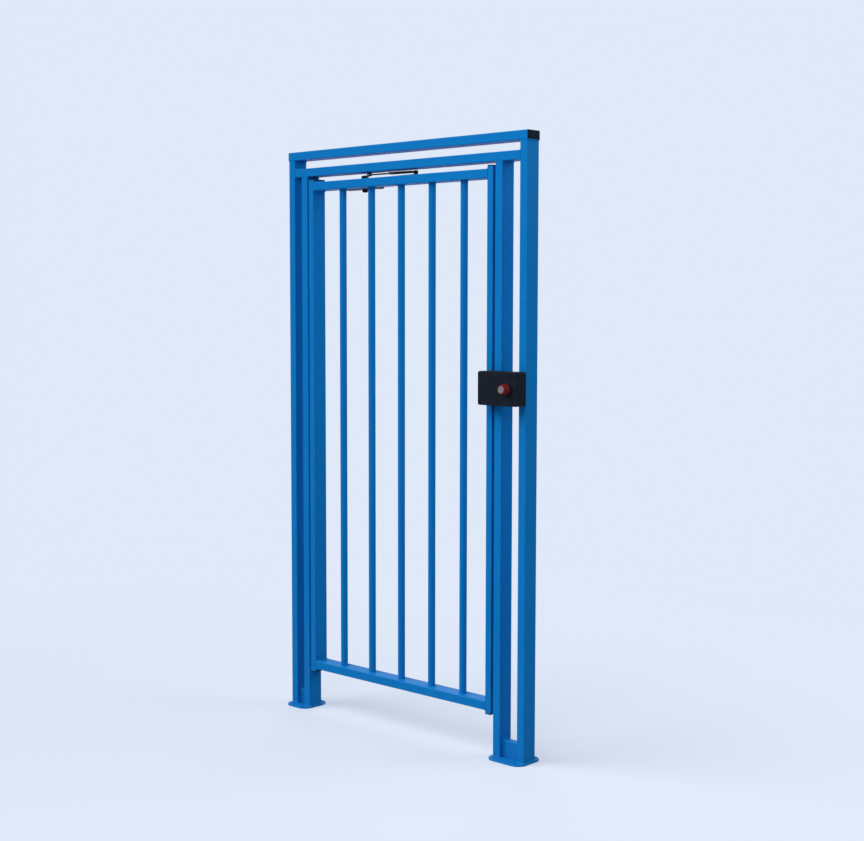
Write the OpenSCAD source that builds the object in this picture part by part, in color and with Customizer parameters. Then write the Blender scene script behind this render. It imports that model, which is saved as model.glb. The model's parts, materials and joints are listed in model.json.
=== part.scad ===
// Full height pedestrian gate: a tube frame on two base plates, a barred leaf on three
// lift-off hinges, a two-arm door closer and a lock case with a push knob.
// X runs along the gate from the hinge side to the latch side, Y from front to back, Z up.
// The origin is the centre of the underside of the hinge side base plate.

/* [Frame] */
// Overall height from the ground to the top of the top rail
gate_h = 2195; // [2000:1:2400]
// Overall width over the two outer posts
gate_w = 1204; // [1100:1:1500]
// Width of a frame tube, seen from the front
tube_w = 32; // [25:1:40]
// Depth of a frame tube, from front to back
tube_d = 64; // [50:1:80]
// Wall thickness of the rectangular tubes
tube_wall = 2; // [1.5:0.5:3]
// Outside corner radius of the rectangular tubes
tube_r = 3; // [2.5:0.5:6]
// Clear gap between the two posts on the hinge side
hinge_pair_gap = 40; // [30:1:60]
// Clear gap between the two posts on the latch side
latch_pair_gap = 78; // [70:1:120]
// Clear gap between the top rail and the header rail
rail_gap = 34; // [25:1:60]
// Thickness of the flange on a plastic tube plug
plug_t = 4; // [2:0.5:6]
// Length of a plug inside its tube
plug_insert = 15; // [8:1:25]
// Clearance of a plug inside its tube
plug_fit = 0.4; // [0.2:0.1:0.8]

/* [Feet] */
// Thickness of the base plates
plate_t = 6; // [5:1:12]
// How far a base plate stands out in front of and behind the posts
plate_front_margin = 35; // [30:1:45]
// How far a base plate stands out beside the posts
plate_side_margin = 9; // [5:1:20]
// Corner radius of the base plates
plate_r = 38; // [20:1:45]
// Radius of the anchor holes
anchor_r = 6; // [4:0.5:7]
// Distance of the anchor holes from the front and back edges of a plate
anchor_edge = 17; // [14:0.5:20]
// Distance of the anchor holes from the side edges of a plate
anchor_side = 30; // [27:1:38]
// Height of the foot spacer between two posts
spacer_h = 60; // [40:1:80]
// Depth of the foot spacer
spacer_d = 30; // [20:1:50]

/* [Leaf] */
// Gap between the hinge side inner post and the leaf
hinge_clear = 8; // [6:0.5:12]
// Gap between the leaf and the latch side inner post
latch_clear = 11; // [9:0.5:16]
// Gap between the header rail and the leaf's top rail
head_clear = 23; // [22:1:40]
// Height of the leaf's bottom rail above the ground
foot_clear = 163; // [120:1:250]
// Width of the leaf's stiles, seen from the front
stile_w = 26; // [20:1:40]
// Height of the leaf's rails
leaf_rail_h = 32; // [25:1:40]
// How far the stiles run up past the top rail
stile_over_top = 9; // [4:1:12]
// How far the stiles run down past the bottom rail
stile_over_bottom = 10; // [4:1:30]
// Diameter of the round bars
bar_d = 26.9; // [20:0.1:32]
// Wall thickness of the round bars
bar_wall = 2; // [1.5:0.5:3]
// Distance between the centres of two bars
bar_pitch = 155; // [110:1:155]

/* [Hinges] */
// Outside radius of the hinge knuckles
knuckle_r = 8; // [7:0.5:10]
// Gap between the knuckles and the back of the posts
knuckle_stand = 1; // [0.5:0.5:3]
// Radius of the hinge pins
pin_r = 5; // [4:0.5:6]
// Running clearance between a pin and its bore
pin_fit = 0.05; // [0.02:0.01:0.1]
// Height of one hinge half
knuckle_h = 45; // [30:1:60]
// Gap between the two halves of a hinge
knuckle_gap = 0.4; // [0.2:0.1:0.8]
// Thickness of the hinge plates
hinge_plate_t = 4; // [3:0.5:6]
// Width of the hinge plates on the posts and stiles
hinge_plate_w = 17; // [14:1:20]
// Distance of the lowest hinge above the leaf's bottom rail
hinge_low = 190; // [100:10:300]
// Distance of the highest hinge below the leaf's top rail
hinge_high = 190; // [100:10:300]

/* [Closer] */
// Distance along the leaf from the hinge axis to the closer's spindle
spindle_x = 227; // [210:1:260]
// Distance of the spindle behind the leaf
spindle_back = 24; // [22:1:28]
// Distance along the header from the hinge axis to the shoe's pin
shoe_x = 295; // [270:1:320]
// Distance of the shoe's pin behind the middle of the header
shoe_back = 12; // [8:1:14]
// Length of the closer's body
closer_l = 176; // [150:1:200]
// Height of the closer's body
closer_h = 34; // [30:1:46]
// Depth of the closer's body
closer_d = 46; // [42:1:56]
// How far the body's middle lies from the spindle, towards the hinges
closer_shift = 4; // [0:1:10]
// Radius of the two long outer edges of the body
closer_edge_r = 10; // [4:0.5:14]
// Radius of the round plug in each end of the body
end_plug_r = 13; // [8:0.5:16]
// How far an end plug stands out of the body
end_plug_t = 4; // [2:0.5:8]
// Radius of the spindle
spindle_r = 8; // [6:0.5:9]
// Thickness of the arms
arm_t = 5; // [4:0.5:6]
// Gap between the leaf's top rail and the main arm
arm_rise = 2; // [1.5:0.5:4]
// Height of the main arm's hub above the arm
hub_rise = 11; // [6:0.5:13]
// Radius of the main arm's hub
hub_r = 15; // [13:0.5:17]
// Half width of an arm at its elbow end
arm_slim = 9; // [7:0.5:10]
// Radius of the forearm's rod
rod_r = 3; // [2.5:0.5:3.5]
// Radius of the eye on the rod
rod_eye_r = 11; // [9:0.5:12]
// Length of the forearm's sleeve, from its mouth to the elbow
sleeve_l = 125; // [100:1:150]
// How far the rod reaches into the sleeve
rod_grip = 25; // [15:1:40]
// How far the sleeve stands out past the elbow eye on each side
sleeve_side = 1; // [0.5:0.5:2]
// Height of the sleeve
sleeve_h = 8; // [8:0.5:9]
// Radius of the elbow pin and the shoe pin
link_pin_r = 4; // [3:0.5:5]
// Clearance around the elbow pin
elbow_fit = 0.4; // [0.2:0.1:0.6]

/* [Lock] */
// Height of the lock case
lock_h = 118; // [90:1:140]
// Depth of the lock case with its cover
lock_d = 53; // [40:1:65]
// Thickness of the plate between the case and the posts
lock_back_t = 5; // [5:0.5:8]
// How far the case reaches past the latch side inner post, over the leaf
lock_reach = 28; // [15:1:40]
// How far the case reaches past the outer post
lock_past = 4; // [0:1:12]
// Height of the middle of the lock above the ground
lock_z = 1316; // [900:1:1500]
// Corner radius of the lock case
lock_r = 6; // [3:0.5:12]
// Thickness of the lock's cover
cover_t = 4; // [2:0.5:6]
// Step between the edge of the case and its cover
cover_step = 1.5; // [1:0.5:4]
// Chamfer around the front of the cover
cover_chamfer = 2; // [0.5:0.5:2]
// Distance of the push knob from the latch side end of the case
knob_from_end = 38; // [30:1:60]
// Radius of the push knob's head
knob_r = 20; // [16:0.5:24]
// Radius of the silver face on the knob
knob_face_r = 13.5; // [8:0.5:14]
// Radius of the shallow dish in the silver face
knob_dish_r = 8; // [4:0.5:8]
// Radius of the knob's stem
stem_r = 12; // [8:0.5:13]
// Length of the knob's head
knob_l = 26; // [20:1:32]
// Travel of the knob when it is pushed
knob_travel = 4; // [2:0.5:5]

/* [Hidden] */
$fn = 48;
BAR_COUNT = 5;
HINGE_COUNT = 3;

paint = "#1a6cb4";
black = "#1e2026";
steel = "#9a9aa2";
red = "#a01c26";

// Slack that lets a cut pass right through a solid
cut = 1;

// Plan of the frame
hinge_pair_w = 2 * tube_w + hinge_pair_gap;
latch_pair_w = 2 * tube_w + latch_pair_gap;
left_x = -hinge_pair_w / 2;
right_x = left_x + gate_w;
hinge_inner_x = hinge_pair_w / 2;
latch_inner_x = right_x - latch_pair_w;
latch_mid_x = right_x - latch_pair_w / 2;
front_y = -tube_d / 2;
back_y = tube_d / 2;
plate_d = tube_d + 2 * plate_front_margin;

// Levels of the frame's rails
top_rail_z = gate_h - tube_w;
header_top_z = top_rail_z - rail_gap;
header_z = header_top_z - tube_w;

// Plan and levels of the leaf
leaf_x0 = hinge_inner_x + hinge_clear;
leaf_x1 = latch_inner_x - latch_clear;
leaf_mid_x = (leaf_x0 + leaf_x1) / 2;
leaf_inner_x0 = leaf_x0 + stile_w;
leaf_inner_x1 = leaf_x1 - stile_w;
leaf_top_z = header_z - head_clear;
leaf_rail_z = leaf_top_z - leaf_rail_h;
stile_z0 = foot_clear - stile_over_bottom;
stile_z1 = leaf_top_z + stile_over_top;

// Hinge axis
axis_x = hinge_inner_x + hinge_clear / 2;
axis_y = back_y + knuckle_r + knuckle_stand;
hinge_z0 = foot_clear + leaf_rail_h + hinge_low;
hinge_z1 = leaf_rail_z - hinge_high;
function hinge_z(i) = hinge_z0 + (hinge_z1 - hinge_z0) * (i - 1) / (HINGE_COUNT - 1);
function bar_x(i) = leaf_mid_x + (i - (BAR_COUNT + 1) / 2) * bar_pitch;

// Closer linkage: hinge axis, spindle, elbow and shoe pin are the corners of a parallelogram
hinge_point = [axis_x, axis_y];
spindle_point = [axis_x + spindle_x, back_y + spindle_back];
shoe_point = [axis_x + shoe_x, shoe_back];
elbow_point = spindle_point + shoe_point - hinge_point;
main_arm_l = norm(shoe_point - hinge_point);
forearm_l = norm(spindle_point - hinge_point);
main_arm_turn = atan2(shoe_point.y - hinge_point.y, shoe_point.x - hinge_point.x);
forearm_turn = atan2(spindle_point.y - hinge_point.y, spindle_point.x - hinge_point.x);
shoe_flange_t = 3;
shoe_flange_r = 10;
shoe_boss_t = 1;
shoe_head_t = 2.5;
elbow_head_t = 1.5;
pivot_gap = 0.5;
pin_head_r = link_pin_r + 4;
main_arm_z = leaf_top_z + arm_rise;
forearm_top_z = header_z - shoe_flange_t - shoe_boss_t - pivot_gap;
forearm_z = forearm_top_z - arm_t;
arm_gap = forearm_z - main_arm_z - arm_t;
boss_step = 1;
boss_rim = 5;
closer_z = leaf_top_z - closer_h;
closer_x0 = spindle_point.x - closer_shift - closer_l / 2;
pinion_cap_r = 11;
pinion_cap_t = 10;
pinion_cap_edge = 4;
spindle_stop = 12;
sleeve_x = forearm_l - sleeve_l;
sleeve_w = 2 * (arm_slim + sleeve_side);
sleeve_r = 2.5;
eye_neck = 1.5 * arm_slim;

// Plan of the lock on the front of the latch side posts
lock_x0 = latch_inner_x - lock_reach;
lock_x1 = right_x + lock_past;
lock_w = lock_x1 - lock_x0;
lock_mid_x = (lock_x0 + lock_x1) / 2;
lock_back_y = front_y - lock_back_t;
cover_back_y = lock_back_y - lock_d + cover_t;
cover_front_y = lock_back_y - lock_d;
lock_back_margin = 8;
knob_x = lock_x1 - knob_from_end;
collar_t = 2;
collar_rim = 3;
stem_fit = 0.5;
stem_inside = 10;
knob_gap = 1.5;
knob_back_y = cover_front_y - collar_t - knob_travel - knob_gap;
knob_rim_t = 6;
knob_edge_r = 2;
knob_face_t = 1.5;
knob_dish = 0.6;
ARC_STEPS = 6;

// Points of an arc about c from angle a0 to angle a1
function arc(c, r, a0, a1) = [
    for (i = [0 : ARC_STEPS])
        let (a = a0 + (a1 - a0) * i / ARC_STEPS)
            c + r * [cos(a), sin(a)]
];

// Outline of a plate or a tube with round corners, centred
module rounded(w, d, r) {
    square([w - 2 * r, d], center = true);
    square([w, d - 2 * r], center = true);
    for (sx = [-1, 1], sy = [-1, 1])
        translate([sx * (w / 2 - r), sy * (d / 2 - r)])
            circle(r);
}

// Section of a rectangular tube
module tube_section(w, d) {
    difference() {
        rounded(w, d, tube_r);
        rounded(w - 2 * tube_wall, d - 2 * tube_wall, tube_r - tube_wall);
    }
}

// Upright tube whose left face is at x
module upright(x, w, z0, z1) {
    color(paint)
        translate([x + w / 2, 0, z0])
            linear_extrude(z1 - z0)
                tube_section(w, tube_d);
}

// Level tube along X, from x0 to x1, with its underside at z
module level_tube(x0, x1, z, h) {
    color(paint)
        translate([x0, 0, z + h / 2])
            rotate([90, 0, 90])
                linear_extrude(x1 - x0)
                    tube_section(tube_d, h);
}

// Plug for the open end of a tube: a flange on the end and a stub inside
module plug(w, d) {
    color(black) {
        linear_extrude(plug_t)
            rounded(w, d, tube_r);
        translate([0, 0, -plug_insert])
            linear_extrude(plug_insert)
                rounded(
                    w - 2 * (tube_wall + plug_fit),
                    d - 2 * (tube_wall + plug_fit),
                    tube_r - tube_wall
                );
    }
}

// Base plate under a pair of posts, with four anchor holes
module base_plate(x, pair_w) {
    w = pair_w + 2 * plate_side_margin;
    color(paint)
        translate([x, 0, 0])
            difference() {
                linear_extrude(plate_t)
                    rounded(w, plate_d, plate_r);
                for (sx = [-1, 1], sy = [-1, 1])
                    translate([sx * (w / 2 - anchor_side), sy * (plate_d / 2 - anchor_edge), -cut])
                        cylinder(r = anchor_r, h = plate_t + 2 * cut);
            }
}

// Short tube on edge between the two posts of a pair
module foot_spacer(x, gap) {
    color(paint)
        translate([x - gap / 2, 0, plate_t + spacer_h / 2])
            rotate([90, 0, 90])
                linear_extrude(gap)
                    tube_section(spacer_d, spacer_h);
}

// Lower half of a lift-off hinge: plate on the post, knuckle and fixed pin
module post_hinge(i) {
    color(paint)
        translate([0, 0, hinge_z(i) - knuckle_h]) {
            translate([hinge_inner_x - hinge_plate_w, back_y, 0])
                cube([axis_x - hinge_inner_x + hinge_plate_w, hinge_plate_t, knuckle_h]);
            translate([axis_x, axis_y, 0])
                cylinder(r = knuckle_r, h = knuckle_h);
            translate([axis_x, axis_y, knuckle_h])
                cylinder(r = pin_r, h = knuckle_h - pin_r);
        }
}

// Upper half of a lift-off hinge: plate on the stile and knuckle with a blind bore
module leaf_hinge(i) {
    color(paint)
        translate([0, 0, hinge_z(i) + knuckle_gap])
            difference() {
                union() {
                    translate([axis_x, back_y, 0])
                        cube([leaf_x0 - axis_x + hinge_plate_w, hinge_plate_t, knuckle_h]);
                    translate([axis_x, axis_y, 0])
                        cylinder(r = knuckle_r, h = knuckle_h);
                }
                translate([axis_x, axis_y, -cut])
                    cylinder(r = pin_r + pin_fit, h = knuckle_h - pin_r + cut);
            }
}

// Round bar between the leaf's rails
module leaf_bar(i) {
    color(paint)
        translate([bar_x(i), 0, foot_clear + leaf_rail_h])
            linear_extrude(leaf_rail_z - foot_clear - leaf_rail_h)
                difference() {
                    circle(bar_d / 2);
                    circle(bar_d / 2 - bar_wall);
                }
}

// Plan of an arm along X: round ends joined by a taper
module arm_plan(length, r0, r1) {
    circle(r0);
    translate([length, 0])
        circle(r1);
    polygon([[0, -r0], [length, -r1], [length, r1], [0, r0]]);
}

// Section of the closer's body: flat towards the leaf, round on its two outer edges
module closer_section() {
    rounded(closer_d, closer_h, closer_edge_r);
    translate([-closer_d / 4, 0])
        square([closer_d / 2, closer_h], center = true);
}

// Closer's body along the leaf's top rail, with its end plugs and the boss around the spindle
module closer_body() {
    color(black)
        difference() {
            union() {
                translate([closer_x0, back_y + closer_d / 2, closer_z + closer_h / 2])
                    rotate([90, 0, 90]) {
                        linear_extrude(closer_l)
                            closer_section();
                        translate([0, 0, -end_plug_t])
                            cylinder(r = end_plug_r, h = closer_l + 2 * end_plug_t);
                    }
                translate([spindle_point.x, spindle_point.y, leaf_top_z - closer_edge_r])
                    cylinder(r = spindle_r + boss_rim, h = closer_edge_r + arm_rise / 2);
            }
            translate([spindle_point.x, spindle_point.y, closer_z + spindle_stop])
                cylinder(r = spindle_r + pin_fit, h = closer_h + arm_rise);
        }
}

// Round cap with a bevelled rim under the body
module closer_pinion_cap() {
    color(black)
        translate([spindle_point.x, spindle_point.y, closer_z - pinion_cap_t])
            rotate_extrude()
                polygon([
                    [0, 0], [pinion_cap_r - pinion_cap_edge, 0], [pinion_cap_r, pinion_cap_edge],
                    [pinion_cap_r, pinion_cap_t], [0, pinion_cap_t]
                ]);
}

module closer_spindle() {
    color(steel)
        translate([spindle_point.x, spindle_point.y, closer_z + spindle_stop])
            cylinder(r = spindle_r, h = main_arm_z + arm_t + hub_rise - closer_z - spindle_stop);
}

// Main arm: hub on the spindle, tapered blade, and the elbow boss with its pin and head
module closer_main_arm() {
    color(black) {
        translate([spindle_point.x, spindle_point.y, main_arm_z])
            rotate([0, 0, main_arm_turn])
                difference() {
                    union() {
                        linear_extrude(arm_t)
                            arm_plan(main_arm_l, hub_r, arm_slim);
                        cylinder(r = hub_r - boss_step, h = arm_t + hub_rise);
                    }
                    translate([0, 0, -cut])
                        cylinder(r = spindle_r + pin_fit, h = arm_t + hub_rise + 2 * cut);
                }
        translate([elbow_point.x, elbow_point.y, main_arm_z + arm_t]) {
            cylinder(r = arm_slim - boss_step, h = arm_gap - pivot_gap);
            cylinder(r = link_pin_r, h = arm_gap + arm_t + pivot_gap);
        }
        translate([elbow_point.x, elbow_point.y, forearm_top_z + pivot_gap])
            cylinder(r = pin_head_r, h = elbow_head_t);
    }
}

// Outer half of the forearm: a sleeve for the rod, ending in the eye at the elbow
module closer_forearm() {
    color(black)
        translate([shoe_point.x, shoe_point.y, forearm_z])
            rotate([0, 0, forearm_turn])
                difference() {
                    union() {
                        translate([sleeve_x, 0, arm_t / 2])
                            rotate([90, 0, 90])
                                linear_extrude(sleeve_l - eye_neck)
                                    rounded(sleeve_w, sleeve_h, sleeve_r);
                        translate([forearm_l - 2 * eye_neck, 0, 0])
                            linear_extrude(arm_t)
                                arm_plan(2 * eye_neck, arm_slim, arm_slim);
                    }
                    translate([sleeve_x - cut, 0, arm_t / 2])
                        rotate([0, 90, 0])
                            cylinder(r = rod_r + pin_fit, h = rod_grip + 2 * cut);
                    translate([forearm_l, 0, -cut])
                        cylinder(r = link_pin_r + elbow_fit, h = arm_t + 2 * cut);
                }
}

// Inner half of the forearm: a round rod with the eye on the shoe's pin
module closer_forearm_rod() {
    color(steel)
        translate([shoe_point.x, shoe_point.y, forearm_z])
            rotate([0, 0, forearm_turn])
                difference() {
                    union() {
                        cylinder(r = rod_eye_r, h = arm_t);
                        translate([0, 0, arm_t / 2])
                            rotate([0, 90, 0])
                                cylinder(r = rod_r, h = sleeve_x + rod_grip);
                    }
                    translate([0, 0, -rod_r])
                        cylinder(r = link_pin_r + pin_fit, h = arm_t + 2 * rod_r);
                    for (z = [-rod_r, arm_t])
                        translate([0, 0, z])
                            cylinder(r = pin_head_r + pivot_gap, h = rod_r);
                }
}

// Shoe under the header: flange, boss, the pin that carries the forearm and the pin's head
module closer_shoe() {
    color(black)
        translate([shoe_point.x, shoe_point.y, 0]) {
            translate([0, 0, header_z - shoe_flange_t])
                cylinder(r = shoe_flange_r, h = shoe_flange_t);
            translate([0, 0, forearm_top_z + pivot_gap])
                cylinder(r = pin_head_r, h = shoe_boss_t);
            translate([0, 0, forearm_z - pivot_gap])
                cylinder(r = link_pin_r, h = arm_t + 2 * pivot_gap);
            translate([0, 0, forearm_z - pivot_gap - shoe_head_t])
                cylinder(r = pin_head_r, h = shoe_head_t);
        }
}

// Solid with a rounded outline in the XZ plane, from y0 back to y1
module lock_block(x, w, h, r, y0, y1) {
    translate([x, y1, lock_z])
        rotate([90, 0, 0])
            linear_extrude(y1 - y0)
                rounded(w, h, r);
}

// Round hole along Y at the knob
module knob_hole(r, y0, y1) {
    translate([knob_x, y1, lock_z])
        rotate([90, 0, 0])
            cylinder(r = r, h = y1 - y0);
}

module lock_back_plate() {
    color(black)
        lock_block(
            latch_mid_x, latch_pair_w, lock_h - 2 * lock_back_margin, lock_r, lock_back_y, front_y
        );
}

module lock_case() {
    color(black)
        difference() {
            lock_block(lock_mid_x, lock_w, lock_h, lock_r, cover_back_y, lock_back_y);
            knob_hole(
                stem_r + stem_fit, cover_back_y - cut,
                cover_back_y + stem_inside + knob_travel + knob_gap
            );
        }
}

// Section of a cover of width w, chamfered at its front and open to slack elsewhere
module cover_section(w) {
    side = w / 2 + cut;
    front = w / 2 - cover_chamfer - cut;
    slope = cover_front_y + cover_chamfer + cut;
    polygon([
        [-front, cover_front_y - cut], [-side, slope], [-side, cover_back_y + cut],
        [side, cover_back_y + cut], [side, slope], [front, cover_front_y - cut]
    ]);
}

// Cover of the lock, with a chamfer around its front and the knob's hole
module lock_cover() {
    w = lock_w - 2 * cover_step;
    h = lock_h - 2 * cover_step;
    color(black)
        difference() {
            intersection() {
                lock_block(lock_mid_x, w, h, lock_r, cover_front_y, cover_back_y);
                translate([lock_mid_x, 0, lock_z - h])
                    linear_extrude(2 * h)
                        cover_section(w);
                translate([lock_mid_x - w, 0, lock_z])
                    rotate([0, 90, 0])
                        linear_extrude(2 * w)
                            cover_section(h);
            }
            knob_hole(stem_r + stem_fit, cover_front_y - cut, cover_back_y + cut);
        }
}

module knob_collar() {
    color(black)
        difference() {
            knob_hole(knob_r + collar_rim, cover_front_y - collar_t, cover_front_y);
            knob_hole(stem_r + stem_fit, cover_front_y - collar_t - cut, cover_front_y + cut);
        }
}

// Knob turned about its own axis: stem, rim and a taper to the front
module push_knob() {
    stem_l = cover_back_y + stem_inside - knob_back_y;
    color(red)
        translate([knob_x, knob_back_y, lock_z])
            rotate([90, 0, 0])
                rotate_extrude()
                    polygon(concat(
                        [[0, -stem_l], [stem_r, -stem_l], [stem_r, 0]],
                        arc([knob_r - knob_edge_r, knob_edge_r], knob_edge_r, -90, 0),
                        [[knob_r, knob_rim_t]],
                        arc([knob_face_r, knob_l - knob_edge_r], knob_edge_r, 0, 90),
                        [[0, knob_l]]
                    ));
}

// Silver disc on the front of the knob, with a shallow dish
module push_knob_face() {
    face_r = knob_face_r - knob_edge_r / 2;
    color(steel)
        translate([knob_x, knob_back_y - knob_l, lock_z])
            rotate([90, 0, 0])
                rotate_extrude()
                    polygon([
                        [0, 0], [face_r, 0], [face_r, knob_face_t / 2],
                        [face_r - knob_face_t / 2, knob_face_t], [knob_dish_r, knob_face_t],
                        [knob_dish_r - knob_dish, knob_face_t - knob_dish],
                        [0, knob_face_t - knob_dish]
                    ]);
}

module hinge_outer_post() {
    upright(left_x, tube_w, plate_t, top_rail_z);
}

module hinge_inner_post() {
    upright(hinge_inner_x - tube_w, tube_w, plate_t, header_z);
}

module latch_inner_post() {
    upright(latch_inner_x, tube_w, plate_t, header_z);
}

module latch_outer_post() {
    upright(right_x - tube_w, tube_w, plate_t, top_rail_z);
}

module top_rail() {
    level_tube(left_x, right_x, top_rail_z, tube_w);
}

module header_rail() {
    level_tube(left_x + tube_w, right_x - tube_w, header_z, tube_w);
}

// Black cap on one end of the top rail: side is -1 at the hinge end and 1 at the latch end
module rail_cap(x, side) {
    translate([x, 0, top_rail_z + tube_w / 2])
        rotate([0, side * 90, 0])
            plug(tube_w, tube_d);
}

module leaf_hinge_stile() {
    upright(leaf_x0, stile_w, stile_z0, stile_z1);
}

module leaf_latch_stile() {
    upright(leaf_inner_x1, stile_w, stile_z0, stile_z1);
}

module leaf_top_rail() {
    level_tube(leaf_inner_x0, leaf_inner_x1, leaf_rail_z, leaf_rail_h);
}

module leaf_bottom_rail() {
    level_tube(leaf_inner_x0, leaf_inner_x1, foot_clear, leaf_rail_h);
}

// Black plug in the top of the stile whose left face is at x
module stile_top_plug(x) {
    translate([x + stile_w / 2, 0, stile_z1])
        plug(stile_w, tube_d);
}

// Black plug in the bottom of the stile whose left face is at x
module stile_bottom_plug(x) {
    translate([x + stile_w / 2, 0, stile_z0])
        rotate([180, 0, 0])
            plug(stile_w, tube_d);
}

hinge_outer_post();
hinge_inner_post();
latch_inner_post();
latch_outer_post();
top_rail();
header_rail();
rail_cap(left_x, -1);  // hinge_side_rail_cap
rail_cap(right_x, 1);  // latch_side_rail_cap
base_plate(0, hinge_pair_w);  // hinge_base_plate
base_plate(latch_mid_x, latch_pair_w);  // latch_base_plate
foot_spacer(0, hinge_pair_gap);  // hinge_foot_spacer
foot_spacer(latch_mid_x, latch_pair_gap);  // latch_foot_spacer
for (i = [1 : HINGE_COUNT]) {
    post_hinge(i);
    leaf_hinge(i);
}
leaf_hinge_stile();
leaf_latch_stile();
leaf_top_rail();
leaf_bottom_rail();
for (i = [1 : BAR_COUNT])
    leaf_bar(i);
stile_top_plug(leaf_x0);  // hinge_stile_top_plug
stile_bottom_plug(leaf_x0);  // hinge_stile_bottom_plug
stile_top_plug(leaf_inner_x1);  // latch_stile_top_plug
stile_bottom_plug(leaf_inner_x1);  // latch_stile_bottom_plug
closer_body();
closer_pinion_cap();
closer_spindle();
closer_main_arm();
closer_forearm();
closer_forearm_rod();
closer_shoe();
lock_back_plate();
lock_case();
lock_cover();
knob_collar();
push_knob();
push_knob_face();
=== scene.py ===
import json
from collections import namedtuple

import bmesh
import bpy
import numpy as np
from bpy.props import FloatProperty, FloatVectorProperty, IntProperty, PointerProperty
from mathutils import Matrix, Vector


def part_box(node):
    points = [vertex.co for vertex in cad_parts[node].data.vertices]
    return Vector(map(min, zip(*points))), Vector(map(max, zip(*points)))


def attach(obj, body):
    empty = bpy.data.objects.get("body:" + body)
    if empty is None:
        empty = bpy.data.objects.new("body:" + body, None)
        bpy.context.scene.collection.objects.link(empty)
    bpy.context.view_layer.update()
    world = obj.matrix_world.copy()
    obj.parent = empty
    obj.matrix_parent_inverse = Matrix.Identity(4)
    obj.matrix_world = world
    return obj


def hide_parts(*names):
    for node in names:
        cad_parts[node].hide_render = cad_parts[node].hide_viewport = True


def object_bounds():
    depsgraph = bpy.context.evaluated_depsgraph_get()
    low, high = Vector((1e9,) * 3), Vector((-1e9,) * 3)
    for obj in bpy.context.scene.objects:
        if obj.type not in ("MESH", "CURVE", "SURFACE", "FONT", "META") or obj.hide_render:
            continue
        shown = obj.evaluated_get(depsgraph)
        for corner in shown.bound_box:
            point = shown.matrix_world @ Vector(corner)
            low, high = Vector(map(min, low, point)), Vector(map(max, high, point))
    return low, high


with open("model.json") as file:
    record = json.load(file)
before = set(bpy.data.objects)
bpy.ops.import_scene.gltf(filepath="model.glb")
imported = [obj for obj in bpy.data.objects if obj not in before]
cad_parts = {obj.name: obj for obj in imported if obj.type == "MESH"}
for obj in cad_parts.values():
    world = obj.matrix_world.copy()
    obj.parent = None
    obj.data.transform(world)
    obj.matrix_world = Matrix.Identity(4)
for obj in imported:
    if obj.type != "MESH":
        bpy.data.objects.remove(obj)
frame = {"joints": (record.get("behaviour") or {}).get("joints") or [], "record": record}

CAD_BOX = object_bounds()

bl_info = {
    "name": "Pedestrian gate",
    "version": (1, 0, 0),
    "blender": (4, 5, 0),
    "location": "View3D > Sidebar > Gate",
    "description": "Dresses the packed pedestrian gate and sets up its studio picture",
    "category": "Object",
}

MM = 0.001
FULL_TURN = 2 * np.pi
QUARTER = np.pi / 2
MERGE = 2e-7
SHARP_ANGLE = np.radians(38)

# Points along a rounded corner or rim, and round a circle, a hole and a screw
CORNER_STEPS = 7
WIDE_CORNER_STEPS = 16
ROUND_STEPS = 64
HOLE_STEPS = 40
SCREW_STEPS = 48

# Roundings of small edges: pressed against another piece, cut, broken and machined
TIGHT, CRISP, FINE, SOFT = 0.1 * MM, 0.2 * MM, 0.3 * MM, 0.8 * MM

# Vertex attribute that is 1 along rounded edges and 0 on flat faces, and the bends where it
# starts, is full and ends
WEAR = "edge_wear"
WEAR_BENDS = np.radians([9, 14, 35])

# Directions of a piece's own x, y and z axes in the gate's frame
UP = np.array([[1, 0, 0], [0, 1, 0], [0, 0, 1]], float)
DOWN = np.array([[1, 0, 0], [0, -1, 0], [0, 0, -1]], float)
RIGHT = np.array([[0, 1, 0], [0, 0, 1], [1, 0, 0]], float)
LEFT = np.array([[0, 0, 1], [0, 1, 0], [-1, 0, 0]], float)
FRONT = np.array([[1, 0, 0], [0, 0, 1], [0, -1, 0]], float)
BACK = np.array([[0, 0, 1], [1, 0, 0], [0, 1, 0]], float)
BACK_LEVEL = np.array([[-1, 0, 0], [0, 0, 1], [0, 1, 0]], float)

CORNERS = np.array([[1, 1], [-1, 1], [-1, -1], [1, -1]], float)

POSTS = ["hinge_outer_post", "hinge_inner_post", "latch_inner_post", "latch_outer_post"]
FRAME_RAILS = ["top_rail", "header_rail"]
SPACERS = ["hinge_foot_spacer", "latch_foot_spacer"]
STILES = ["leaf_hinge_stile", "leaf_latch_stile"]
LEAF_RAILS = ["leaf_top_rail", "leaf_bottom_rail"]
PLATES = ["hinge_base_plate", "latch_base_plate"]
BARS = [f"leaf_bar_{i}" for i in range(1, 6)]
HINGES = range(1, 4)


def setting(kind, **fixed):
    """Maker of the settings of one kind, each from its name, its description and its default."""

    def made(name, description, default):
        return kind(name=name, description=description, default=default, **fixed)

    return made


number = setting(IntProperty)
share = setting(FloatProperty, precision=4)
length = setting(FloatProperty, precision=5, unit="LENGTH")
power = setting(FloatProperty, unit="POWER")
turning = setting(FloatProperty, subtype="ANGLE")
point = setting(FloatVectorProperty, size=3, precision=5, subtype="TRANSLATION", unit="LENGTH")
colour = setting(FloatVectorProperty, size=3, subtype="COLOR", min=0, max=1)


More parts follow.
